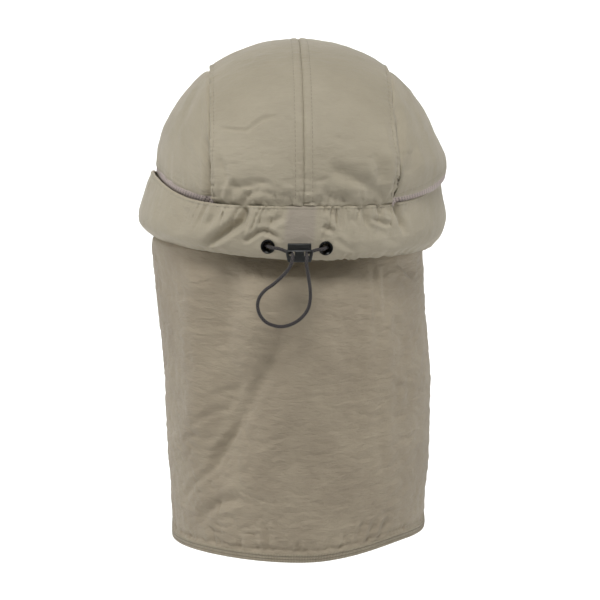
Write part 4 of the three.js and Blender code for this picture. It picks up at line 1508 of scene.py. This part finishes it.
@dataclass(frozen=True)
class Band:
    """The gathered band with the drawcord's tunnel in its hem."""

    shape: CapShape = CapShape()
    seam_row: float = 0.055
    girth: float = 33 * MM
    hole: float = 7 * MM
    drill_length: float = 7 * MM
    smooth_at: float = -1.5 * MM

    def relief(self, angle: np.ndarray, drop: np.ndarray) -> np.ndarray:
        """How far in the band lies from its folded surface: gathers, scallops and crumples.

        Args:
            angle: Round the cap.
            drop: 0 at its seam to 1 at the rim.

        Returns:
            Insets in metres.
        """
        degrees = np.degrees(angle)
        along = angle * FLAT_RADIUS
        down = drop * self.girth
        at_back = 1 - smooth(np.abs(degrees), 36, 50)
        beside = np.abs(along - self.smooth_at)
        smooth_middle = smooth(beside, 11 * MM, 17 * MM)
        gather = Crumple(21).at(along / (4.4 * MM), drop * 1.2) * (0.1 + at_back) * smooth_middle
        gather *= 1 - smooth(drop, 0.1, 0.55)
        tucks = Crumple(26).valleys((along + 0.12 * down) / (6.5 * MM), drop * 0.9 + 0.3, 0.24)
        tucks *= (1 - smooth(drop, 0.25, 0.7)) * (0.05 + at_back) * smooth_middle
        scallop = Crumple(22).at(along / (6 * MM), 3.5) * smooth(drop, 0.7, 1) * (0.2 + 0.5 * at_back)
        scallop *= smooth(beside, 22 * MM, 30 * MM)
        crumple = 0.45 * Crumple(23).at(along / (17 * MM), down / (12 * MM))
        crumple += 0.25 * Crumple(24).at(along / (7 * MM), down / (7 * MM))
        crumple += 0.1 * Crumple(25).at(along / (3.5 * MM), down / (3 * MM))
        crumple *= 0.4 + 0.6 * smooth_middle
        stitched = 0.25 * bump(drop - self.seam_row, 0.015)
        rolled = 0.7 * (1 - smooth(drop, 0, 0.02)) - 0.3 * bump(drop - 0.035, 0.02)
        return (1.2 * gather + 1.5 * tucks + 1.3 * scallop + crumple + stitched + rolled) * MM

    def plain(self, angle: np.ndarray, drop: np.ndarray) -> np.ndarray:
        """The band's outer face without its relief."""
        return self.shape.band(angle, drop, np.zeros(np.broadcast(angle, drop).shape))

    def skin(self, angle: np.ndarray, drop: np.ndarray) -> np.ndarray:
        """The band's outer face with its relief."""
        wrinkles = wrinkled(BAND_WRINKLES, self.plain(angle, drop))
        return self.shape.band(angle, drop, self.relief(angle, drop) + wrinkles)

    def build(self) -> None:
        """Makes the band: outer face, rounded hem and lining up to the tunnel's stitching."""
        shape = self.shape
        angle = np.radians(np.concatenate([np.linspace(-80, 80, 321)[:-1], np.linspace(80, 280, 151)]))
        drop = np.concatenate([[0, 0.01, 0.02, 0.035, 0.05, 0.07], np.linspace(0.09, 1, 46)])
        grid_angle, grid_drop = np.meshgrid(angle, drop)
        outer = self.skin(grid_angle, grid_drop)
        lining = shape.band(angle, np.ones_like(angle), np.full_like(angle, shape.hem_depth))
        turn = np.linspace(0, math.pi, 9)[1:-1, None, None]
        middle, half = (outer[-1] + lining) / 2, (outer[-1] - lining) / 2
        up = np.array([0, 0, 1])
        hem = middle + half * np.cos(turn) - shape.cloth * up * np.sin(turn) + shape.cloth * up
        degrees = np.degrees(angle)
        at_right = 0.35 + 0.65 * smooth(degrees, 0, 25) * (1 - smooth(degrees, 60, 90))
        wobble = 1.5 * MM * at_right * np.abs(Crumple(27).at(angle * FLAT_RADIUS / (4.6 * MM), 0.5))
        outer[..., 2] += (shape.cloth + wobble) * smooth(grid_drop, 0.8, 1)
        hem[..., 2] += wobble
        climb = np.linspace(0, shape.tunnel_height, 12)
        inner = lining + shape.cloth * up + climb[:, None, None] * up
        points = np.concatenate([outer, hem, inner])
        folded = self.girth + np.linspace(1, 9, 7) * MM
        heights = np.concatenate([drop * self.girth, folded, self.girth + 10 * MM + climb])
        cut = np.stack(np.broadcast_arrays((angle * FLAT_RADIUS)[None], -heights[:, None]), axis=-1)
        piece = grid_sheet("gathered_hem_band", points, cut, shape.cloth, ring=True)
        for sign in (-1, 1):
            self.pierce(piece, *Eyelet(shape).seat(sign))
        Finish.BAND.dress(piece)
        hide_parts("gathered_band")

    def pierce(self, piece: bpy.types.Object, centre: np.ndarray, normal: np.ndarray) -> None:
        """Cuts the hole that an eyelet's barrel passes through.

        Args:
            piece: The band.
            centre: The eyelet's middle.
            normal: The band's normal there.
        """
        deselect()
        turn = Vector(normal).to_track_quat("Z", "Y").to_euler()
        bpy.ops.mesh.primitive_cylinder_add(
            vertices=32, radius=self.hole / 2, depth=self.drill_length, location=centre, rotation=turn
        )
        drill = bpy.context.object
        settle(drill)
        cut_away(piece, drill)

    def build_stitches(self) -> None:
        """Sews the row just under the seam."""
        angle = np.linspace(-math.pi, math.pi, 2400)
        row = surface_row(self.skin, angle, np.full_like(angle, self.seam_row))
        Finish.THREAD.dress(Stitching().sew("band_topstitching", [row]))


@dataclass(frozen=True)
class NeckFlap:
    """The neck flap and the binding round it."""

    shape: CapShape = CapShape()
    thickness: float = 2.4 * MM
    half_girth: float = 172 * MM
    length: float = 181 * MM
    row_height: float = 1.7 * MM

    def relief(self, across: np.ndarray, drop: np.ndarray) -> np.ndarray:
        """How far in the flap lies from its folded surface: crinkles and hem puckers.

        Args:
            across: -1 at the left front edge to 1 at the right.
            drop: 0 at its top to 1 at its foot.

        Returns:
            Insets in metres.
        """
        along = across * self.half_girth
        down = drop * self.length
        crinkle = 0.5 * Crumple(31).at(along / (24 * MM), down / (17 * MM))
        crinkle += 0.42 * Crumple(32).at(along / (15 * MM), down / (5.5 * MM))
        crinkle += 0.36 * Crumple(33).at(along / (8 * MM), down / (3.1 * MM))
        slack = smooth(drop, 0.45, 0.8) * (1 - smooth(across, -0.3, 0.1)) * smooth(across, -0.6, -0.45)
        warp = 6 * MM * Crumple(36).at(along / (20 * MM), down / (20 * MM))
        crinkle += (0.25 + 0.6 * slack) * Crumple(37).valleys((along + down) / (26 * MM), (down + warp) / (9 * MM), 0.2)
        above = (1 - drop) * self.length
        pucker = 1.5 * np.maximum(0, Crumple(34).at(along / (3.4 * MM), 0.5)) * bump(above - 1.8 * MM, 2.4 * MM)
        pucker += 0.6 * Crumple(38).at(along / (8 * MM), drop * 3) * bump(1 - drop, 0.09)
        upper = 0.4 * Crumple(35).at(along / (5 * MM), 2.5) * (1 - smooth(drop, 0.05, 0.3))
        return (crinkle + pucker + upper) * MM

    def plain(self, across: np.ndarray, drop: np.ndarray) -> np.ndarray:
        """The flap's outer face without its relief."""
        return self.shape.flap(across, drop, np.zeros(np.broadcast(across, drop).shape))

    def skin(self, across: np.ndarray, drop: np.ndarray) -> np.ndarray:
        """The flap's outer face with its relief.

        Args:
            across: -1 at the left front edge to 1 at the right.
            drop: 0 at its top to 1 at its foot.

        Returns:
            Points.
        """
        plain = self.plain(across, drop)
        free = smooth(drop, 0.05, 0.12) * smooth(1 - drop, 0, 0.01) * smooth(1 - np.abs(across), 0, 0.03)
        tuck = 0.8 * MM * bump((1 - drop) * self.length - 2.3 * MM, 1 * MM)
        relief = self.relief(across, drop) + wrinkled(FLAP_WRINKLES, plain)
        return self.shape.flap(across, drop, relief * free + tuck)

    def build_flap(self) -> bpy.types.Object:
        """Makes the flap.

        Returns:
            The piece.
        """
        edge = np.linspace(0.94, 1, 12)[1:]
        across = np.concatenate([-edge[::-1], np.linspace(-0.94, 0.94, 256), edge])
        drop = np.concatenate([np.linspace(0, 0.9, 132)[:-1], np.linspace(0.9, 1, 20)])
        grid_across, grid_drop = np.meshgrid(across, drop)
        points = self.skin(grid_across, grid_drop)
        cut = np.stack([grid_across * self.half_girth, -grid_drop * self.length], axis=-1)
        piece = grid_sheet("hanging_flap", points, cut, self.shape.cloth)
        Finish.FLAP.dress(piece)
        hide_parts("neck_flap")
        return piece

    def build_binding(self) -> bpy.types.Object:
        """Makes the tape folded round the flap's edges and hem.

        Returns:
            The piece.
        """
        shape = self.shape
        down = np.concatenate([np.linspace(0.09, 0.9, 110), np.linspace(0.9, 1, 18)[1:]])
        corner = np.linspace(0.93, 1, 24)
        hem = np.concatenate([-corner[::-1], np.linspace(-0.93, 0.93, 300)[1:-1], corner])
        across = np.concatenate([np.full(len(down) - 1, -1.0), hem, np.full(len(down) - 1, 1.0)])
        drop = np.concatenate([down[:-1], np.ones(len(hem)), down[:-1][::-1]])
        points, normal = surface_row(self.plain, across, drop)
        forward = np.gradient(points, axis=0)
        forward /= np.linalg.norm(forward, axis=1, keepdims=True)
        outward = np.cross(forward, normal)
        outward /= np.linalg.norm(outward, axis=1, keepdims=True)
        middle = points - normal * shape.cloth / 2
        turn = np.linspace(-math.pi / 2, math.pi / 2, 9)
        nose = shape.binding - self.thickness / 2
        inner = [(0, 0.42), (0.16, 0.5), (0.34, 0.5), (0.5, 0.47), (0.62, 0.5)]
        profile = [(share * nose, -up * self.thickness) for share, up in inner]
        profile += [(nose + self.thickness / 2 * math.cos(t), self.thickness / 2 * math.sin(t)) for t in turn]
        profile += [(share * nose, up * self.thickness) for share, up in reversed(inner)]
        profile = np.array([*profile, profile[0]])
        rings = middle[None] + outward[None] * profile[:, :1, None] + normal[None] * profile[:, 1:, None]
        along = np.concatenate([[0], np.cumsum(np.linalg.norm(np.diff(points, axis=0), axis=1))])
        fall = np.concatenate([[0], np.cumsum(np.linalg.norm(np.diff(profile, axis=0), axis=1))])
        cut = np.stack(np.broadcast_arrays(along[None], fall[:, None]), axis=-1)
        piece = closed_sweep("flap_edge_tape", rings, cut)
        Finish.TAPE.dress(piece)
        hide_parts("flap_binding")
        return piece

    def build_stitches(self) -> bpy.types.Object:
        """Sews the binding's row.

        Returns:
            The piece.
        """
        hem = np.linspace(-0.97, 0.97, 900)
        points, normal = surface_row(self.plain, hem, np.ones_like(hem))
        up = np.array([0, 0, 1])
        row = (points - up * self.row_height + normal * (self.thickness / 2 - self.shape.cloth / 2), normal)
        piece = Stitching(length=2 * MM, radius=0.2 * MM).sew("tape_topstitching", [row])
        Finish.THREAD.dress(piece)
        return piece

    def build(self) -> None:
        flap = self.build_flap()
        trim = [self.build_binding(), self.build_stitches()]


@dataclass(frozen=True)
class Peak:
    """The stiff peak, covered in cloth with rows of topstitching."""

    shape: CapShape = CapShape()
    board: float = 2.6 * MM
    rows: tuple[float, ...] = (3 * MM, 9 * MM, 15 * MM, 21 * MM)
    flat_half: float = 90 * MM

    def skin(self, across: np.ndarray, out: np.ndarray) -> np.ndarray:
        """The upper face with its stitched channels.

        Args:
            across: -1 to 1 along its root.
            out: 0 under the rim to 1 at its front edge.

        Returns:
            Points.
        """
        point = self.shape.peak(across, out)
        edge = (1 - out) * self.shape.peak_length
        groove = sum(0.25 * MM * bump(edge - row, 0.6 * MM) for row in self.rows)
        crumple = 0.15 * MM * Crumple(41).at(point[..., 0] / (9 * MM), point[..., 1] / (7 * MM))
        rim = 0.9 * MM * bump(edge, 0.9 * MM)
        point[..., 2] -= groove + crumple + rim
        return point

    def build(self) -> None:
        """Makes the peak and its stitches."""
        across = np.sin(np.linspace(-1.5, 1.5, 130))
        out = np.concatenate([np.linspace(0, 0.65, 30)[:-1], np.linspace(0.65, 1, 56)])
        grid_across, grid_out = np.meshgrid(across, out)
        points = self.skin(grid_across, grid_out)
        cut = np.stack([grid_across * self.flat_half, grid_out * self.shape.peak_length], axis=-1)
        piece = grid_sheet("cap_peak", points, cut, self.board)
        Finish.CROWN.dress(piece)
        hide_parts("peak")
        rows = []
        place = np.sin(np.linspace(-1.3, 1.3, 500))
        for inset in self.rows:
            points, normal = surface_row(self.skin, place, np.full_like(place, 1 - inset / self.shape.peak_length))
            rows.append((points, normal * np.where(normal[:, 2:] < 0, -1, 1)))
        Finish.THREAD.dress(Stitching().sew("peak_topstitching", rows))


@dataclass(frozen=True)
class Eyelet:
    """A black eyelet: a rolled ring on the face of the cloth and a barrel through it."""

    shape: CapShape = CapShape()
    height: float = 7.8 * MM
    bore: float = 5.5 * MM
    wall: float = 0.5 * MM
    lip: float = 0.8 * MM
    sides: int = 48
    band_bulge: float = 1.0437
    front: float = 0.3 * MM
    back: float = -4.6 * MM
    packed_back: float = -2.2 * MM

    def seat(self, sign: int) -> tuple[np.ndarray, np.ndarray]:
        """Where it sits on the band.

        Args:
            sign: -1 for the left one, 1 for the right.

        Returns:
            Its middle and the band's normal there.
        """
        shape = self.shape
        low, high = frame_box("eyelet_left" if sign < 0 else "eyelet_right")
        angle = math.asin(sign * shape.eyelet_spacing / 2 / (shape.half_width * self.band_bulge))
        drop = 1 - self.height / (float(shape.seam_height(angle)) - float(shape.rim_height(angle)))
        normal = surface_row(Band(shape).plain, np.array([angle]), np.array([drop]))[1]
        return (low + high) / 2, normal[0]

    def build(self, side: str, sign: int) -> None:
        """Turns one eyelet's section round its axis.

        Args:
            side: left or right.
            sign: -1 or 1.
        """
        centre, normal = self.seat(sign)
        bore, barrel, flange = self.bore / 2, self.bore / 2 + self.wall, self.shape.eyelet_flange / 2
        top, back = self.front, self.back
        section = [(bore, back), (barrel + 0.25 * MM, back), (barrel, back + 0.5 * MM), (barrel, top)]
        middle, half = (barrel + flange) / 2, (flange - barrel) / 2
        section += [
            (middle + half * math.cos(t), top + self.lip * math.sin(t)) for t in np.linspace(0, math.pi * 0.75, 9)
        ]
        section += [(bore + 0.12 * MM, top + self.lip * 0.35), (bore, top - 0.1 * MM)]
        turn = np.linspace(0, 2 * math.pi, self.sides + 1)
        side_way = np.cross(normal, (0, 0, 1))
        side_way /= np.linalg.norm(side_way)
        up = np.cross(side_way, normal)
        ring = np.array([*section, section[0]])
        out = side_way[None] * np.cos(turn)[:, None] + up[None] * np.sin(turn)[:, None]
        base = centre - normal * (self.packed_back + top + self.lip) / 2
        points = base + out[None] * ring[:, None, :1] + normal * ring[:, None, 1:]
        cut = np.stack(np.broadcast_arrays(turn[None] * bore, ring[:, 1:2]), axis=-1)
        piece = closed_sweep(f"eyelet_ring_{side}", points, cut)
        Finish.METAL.dress(piece)
        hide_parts(f"eyelet_{side}")


def frame_box(node: str) -> np.ndarray:
    """A node's lowest and highest corners."""
    return np.array([tuple(corner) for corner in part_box(node)])


class LockPart(Enum):
    """The cord lock's two pieces, with the body that each moves with."""

    BODY = ("cord_lock_body", "lock_body", ROOT)
    BUTTON = ("cord_lock_button", "lock_button", "button")


@dataclass(frozen=True)
class CordLock:
    """The cord lock: a moulded cup and the sprung button in it."""

    width: float = 15.4 * MM
    depth: float = 7.6 * MM
    body_height: float = 7 * MM
    wall: float = 1.15 * MM
    side_wall: float = 0.8 * MM
    floor: float = 1.1 * MM
    lip: float = 0.9 * MM
    slot: float = 2.6 * MM
    web: float = 2.5 * MM
    stand: float = 3.6 * MM
    travel: float = 1 * MM
    clear: float = 0.2 * MM
    groove_heights: tuple[float, ...] = (1.1 * MM, 2.25 * MM)
    groove_depth: float = 0.28 * MM
    groove_half: float = 0.22 * MM

    def origin(self) -> np.ndarray:
        """The middle of the cup's mouth."""
        low, high = frame_box("lock_body")
        return np.array([(low[0] + high[0]) / 2, (low[1] + high[1]) / 2, high[2]])

    def block(self, name: str, low: Sequence[float], high: Sequence[float]) -> bpy.types.Object:
        """A block between two corners.

        Args:
            name: Its name.
            low: Its lowest corner, measured from the middle of the cup's mouth.
            high: Its highest corner.

        Returns:
            The block.
        """
        low, high = np.array(low) + self.origin(), np.array(high) + self.origin()
        deselect()
        bpy.ops.mesh.primitive_cube_add(size=1, location=(low + high) / 2)
        piece = bpy.context.object
        piece.name = piece.data.name = name
        piece.scale = high - low
        settle(piece)
        return piece

    def build_body(self) -> bpy.types.Object:
        """Makes the cup: rounded foot, flared sides, two slots from back to front and a cavity from above.

        Returns:
            The cup.
        """
        half, deep = self.width / 2, self.depth / 2
        piece = self.block("cord_lock_body", (-half, -deep, -self.body_height), (half, deep, 0))
        origin = self.origin()
        choose(piece)
        bpy.ops.object.mode_set(mode="EDIT")
        bpy.ops.mesh.select_all(action="SELECT")
        bpy.ops.mesh.subdivide(number_cuts=7)
        bpy.ops.object.mode_set(mode="OBJECT")
        for vertex in piece.data.vertices:
            x, y, z = np.array(vertex.co) - origin
            low = min(1, max(0, -z / self.body_height))
            pinch = 1 - 0.16 * low**2.2
            belly = 1 - 0.1 * (2 * low - 1) ** 2
            vertex.co.x = origin[0] + x * pinch
            vertex.co.y = origin[1] + y * belly * (1 - 0.12 * (x / half) ** 2)
        corners = {"limit_method": "ANGLE", "angle_limit": math.radians(50)}
        apply_modifier(piece, "BEVEL", {"width": 0.9 * MM, "segments": 3, **corners})
        slot_top = -self.lip
        slot_half = half - self.side_wall - 2 * self.clear
        for sign in (-1, 1):
            inner, outer = sorted((sign * self.web, sign * slot_half))
            slot = self.block("slot", (inner, -2 * deep, slot_top - self.slot), (outer, 2 * deep, slot_top))
            apply_modifier(slot, "BEVEL", {"width": 0.5 * MM, "segments": 3})
            cut_away(piece, slot)
        cavity_half, cavity_deep = half - self.side_wall, deep - self.wall
        mouth = (cavity_half, cavity_deep, self.body_height)
        cavity = self.block("cavity", (-cavity_half, -cavity_deep, self.floor - self.body_height), mouth)
        cut_away(piece, cavity)
        return piece

    def build_button(self) -> bpy.types.Object:
        """Makes the button: a ridged bar on a tongue with two windows for the cord.

        Returns:
            The button.
        """
        half = self.width / 2 - self.side_wall - self.clear
        deep = self.depth / 2 - self.wall - self.clear
        foot = self.floor - self.body_height + self.travel + self.clear
        piece = self.block("cord_lock_button", (-half, -deep, foot), (half, deep, self.stand))
        apply_modifier(piece, "BEVEL", {"width": 0.45 * MM, "segments": 3})
        for sign in (-1, 1):
            inner, outer = sorted((sign * self.web, sign * (half - 0.8 * MM)))
            low, high = (inner, -2 * deep, -self.lip - self.slot), (outer, 2 * deep, self.travel - self.lip)
            cut_away(piece, self.block("window", low, high))
        for z in self.groove_heights:
            for face in (-deep, deep):
                low = (-half - MM, face - self.groove_depth, z - self.groove_half)
                high = (half + MM, face + self.groove_depth, z + self.groove_half)
                cut_away(piece, self.block("groove", low, high))
        return piece

    def build(self) -> None:
        """Makes both pieces."""
        for part, make in ((LockPart.BODY, self.build_body), (LockPart.BUTTON, self.build_button)):
            name, node, body = part.value
            piece = make()
            piece.name = name
            smooth_shading(piece, 40)
            Finish.PLASTIC.dress(piece, body)
            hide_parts(node)


@dataclass(frozen=True)
class Studio:
    """The camera, the pale floor and the soft lights."""

    view: View = VIEW
    floor_height: float = -0.42
    floor_size: float = 9
    floor_start: float = -4
    floor_level: float = 1.6
    floor_curve: float = 1.2

    def build_camera(self) -> None:
        """Sets up the camera at the photograph's view."""
        data = bpy.data.cameras.new("camera")
        data.lens = self.view.lens
        data.sensor_width = self.view.sensor
        camera = bpy.data.objects.new("camera", data)
        bpy.context.scene.collection.objects.link(camera)
        camera.location = self.view.target() + self.view.axes()[2] * self.view.distance
        camera.rotation_euler = (math.pi / 2 - self.view.elevation, 0, -self.view.azimuth)
        bpy.context.scene.camera = camera

    def build_floor(self) -> None:
        """Makes the floor and the wall that it curves up into, as one sheet."""
        deselect()
        bpy.ops.mesh.primitive_grid_add(x_subdivisions=2, y_subdivisions=40, size=1)
        floor = bpy.context.object
        floor.name = "studio_floor"
        curve = self.floor_curve
        for vertex in floor.data.vertices:
            along = (vertex.co.y + 0.5) * self.floor_size + self.floor_start
            past = max(0.0, along - self.floor_level)
            turn = min(past / curve, math.pi / 2)
            rise = curve * (1 - math.cos(turn)) + max(0.0, past - curve * math.pi / 2)
            vertex.co = (vertex.co.x * self.floor_size, along - past + curve * math.sin(turn), self.floor_height + rise)
        smooth_shading(floor, 80)
        graph = Graph("studio_paper")
        place = graph.node("ShaderNodeTexCoord", {}, {}, "Object")
        tone = graph.mix(graph.noise(place, 3, 2, 0.5), (0.86, 0.86, 0.86), (0.9, 0.9, 0.9))
        floor.data.materials.append(graph.surface({"Base Color": tone, "Roughness": 0.9}))

    def add_light(
        self,
        name: str,
        place: tuple[float, float, float],
        size: float,
        power: float,
        aim: tuple[float, float, float] = (0, 0, 0),
    ) -> None:
        """Adds a square soft light.

        Args:
            name: Its name.
            place: Where it stands.
            size: Its side.
            power: In watts.
            aim: The point that it faces.
        """
        data = bpy.data.lights.new(name, "AREA")
        data.size = size
        data.energy = power
        light = bpy.data.objects.new(name, data)
        bpy.context.scene.collection.objects.link(light)
        light.location = place
        towards = np.array(aim) - np.array(place)
        tilt = math.acos(-towards[2] / np.linalg.norm(towards))
        light.rotation_euler = (tilt, 0, math.atan2(-towards[0], towards[1]))

    def build_lights(self) -> None:
        """Sets up the lights and the pale surroundings."""
        self.add_light("left", (-2.2, -0.1, 0.5), 1.6, 19)
        self.add_light("right", (2.2, -0.1, 0.5), 1.6, 16)
        self.add_light("key", (-0.1, -1.35, 2), 0.9, 41)
        self.add_light("front", (-0.4, -2.4, 0.9), 1.2, 2)
        self.add_light("backdrop", (0, 1.3, 1.6), 2, 60, (0, 3.2, 0))
        world = bpy.data.worlds.new("surroundings")
        world.use_nodes = True
        background = world.node_tree.nodes["Background"]
        background.inputs["Color"].default_value = (1, 1, 1, 1)
        background.inputs["Strength"].default_value = 0.04
        bpy.context.scene.world = world
        bpy.context.scene.view_settings.view_transform = "Standard"


CORD_ROUTE = (
    (-42.55, -89.2, 7.85),
    (-34.95, -92.7, 8.15),
    (-22.65, -96.45, 8.85),
    (-21.3, -97.8, 8.7),
    (-20, -101.65, 8.2),
    (-18.4, -103.45, 7.8),
    (-14.6, -104.9, 7.3),
    (-8.75, -106.8, 5.2),
    (-7.35, -108.7, 4.9),
    (-7.05, -117.4, 4.2),
    (-7.25, -119.3, 2.4),
    (-7.9, -120, -0.3),
    (-10.3, -119, -4.45),
    (-17, -114.4, -11.55),
    (-22.7, -111.8, -16.05),
    (-25.7, -110, -20.15),
    (-26.7, -108.4, -24.8),
    (-25.4, -106.9, -30.15),
    (-22.05, -105.8, -34.35),
    (-17.35, -105.2, -36.6),
    (-12.75, -105, -37.2),
    (-7.5, -105.3, -35.95),
    (-1.7, -106.3, -32.1),
    (2.05, -107.8, -26.7),
    (3.2, -109.7, -20.7),
    (3, -112, -14.7),
    (2.15, -115.9, -9.45),
    (1.2, -119.2, -3.8),
    (0.6, -120, -0.3),
    (0.8, -119.3, 2.4),
    (0.85, -117.4, 4.2),
    (1.2, -108.8, 4.9),
    (2.35, -107, 5.2),
    (7.2, -104.9, 6.6),
    (10.2, -103.4, 6.75),
    (11.75, -101.6, 7.2),
    (13.1, -97.8, 7.7),
    (14.5, -96.45, 7.9),
    (26.75, -92.7, 7.15),
    (34.3, -89.2, 6.85),
)


def main() -> None:
    """Builds the scene, piece by piece."""
    logging.basicConfig(level=logging.INFO, format="%(name)s %(message)s")
    shape = CapShape()
    studio = Studio()
    studio.build_camera()
    Drawcord(route=CORD_ROUTE).build()
    Crown(shape).build()
    band = Band(shape)
    band.build()
    band.build_stitches()
    NeckFlap(shape).build()
    Peak(shape).build()
    for side, sign in (("left", -1), ("right", 1)):
        Eyelet(shape).build(side, sign)
    CordLock().build()
    studio.build_floor()
    studio.build_lights()


if __name__ == "__main__":
    main()
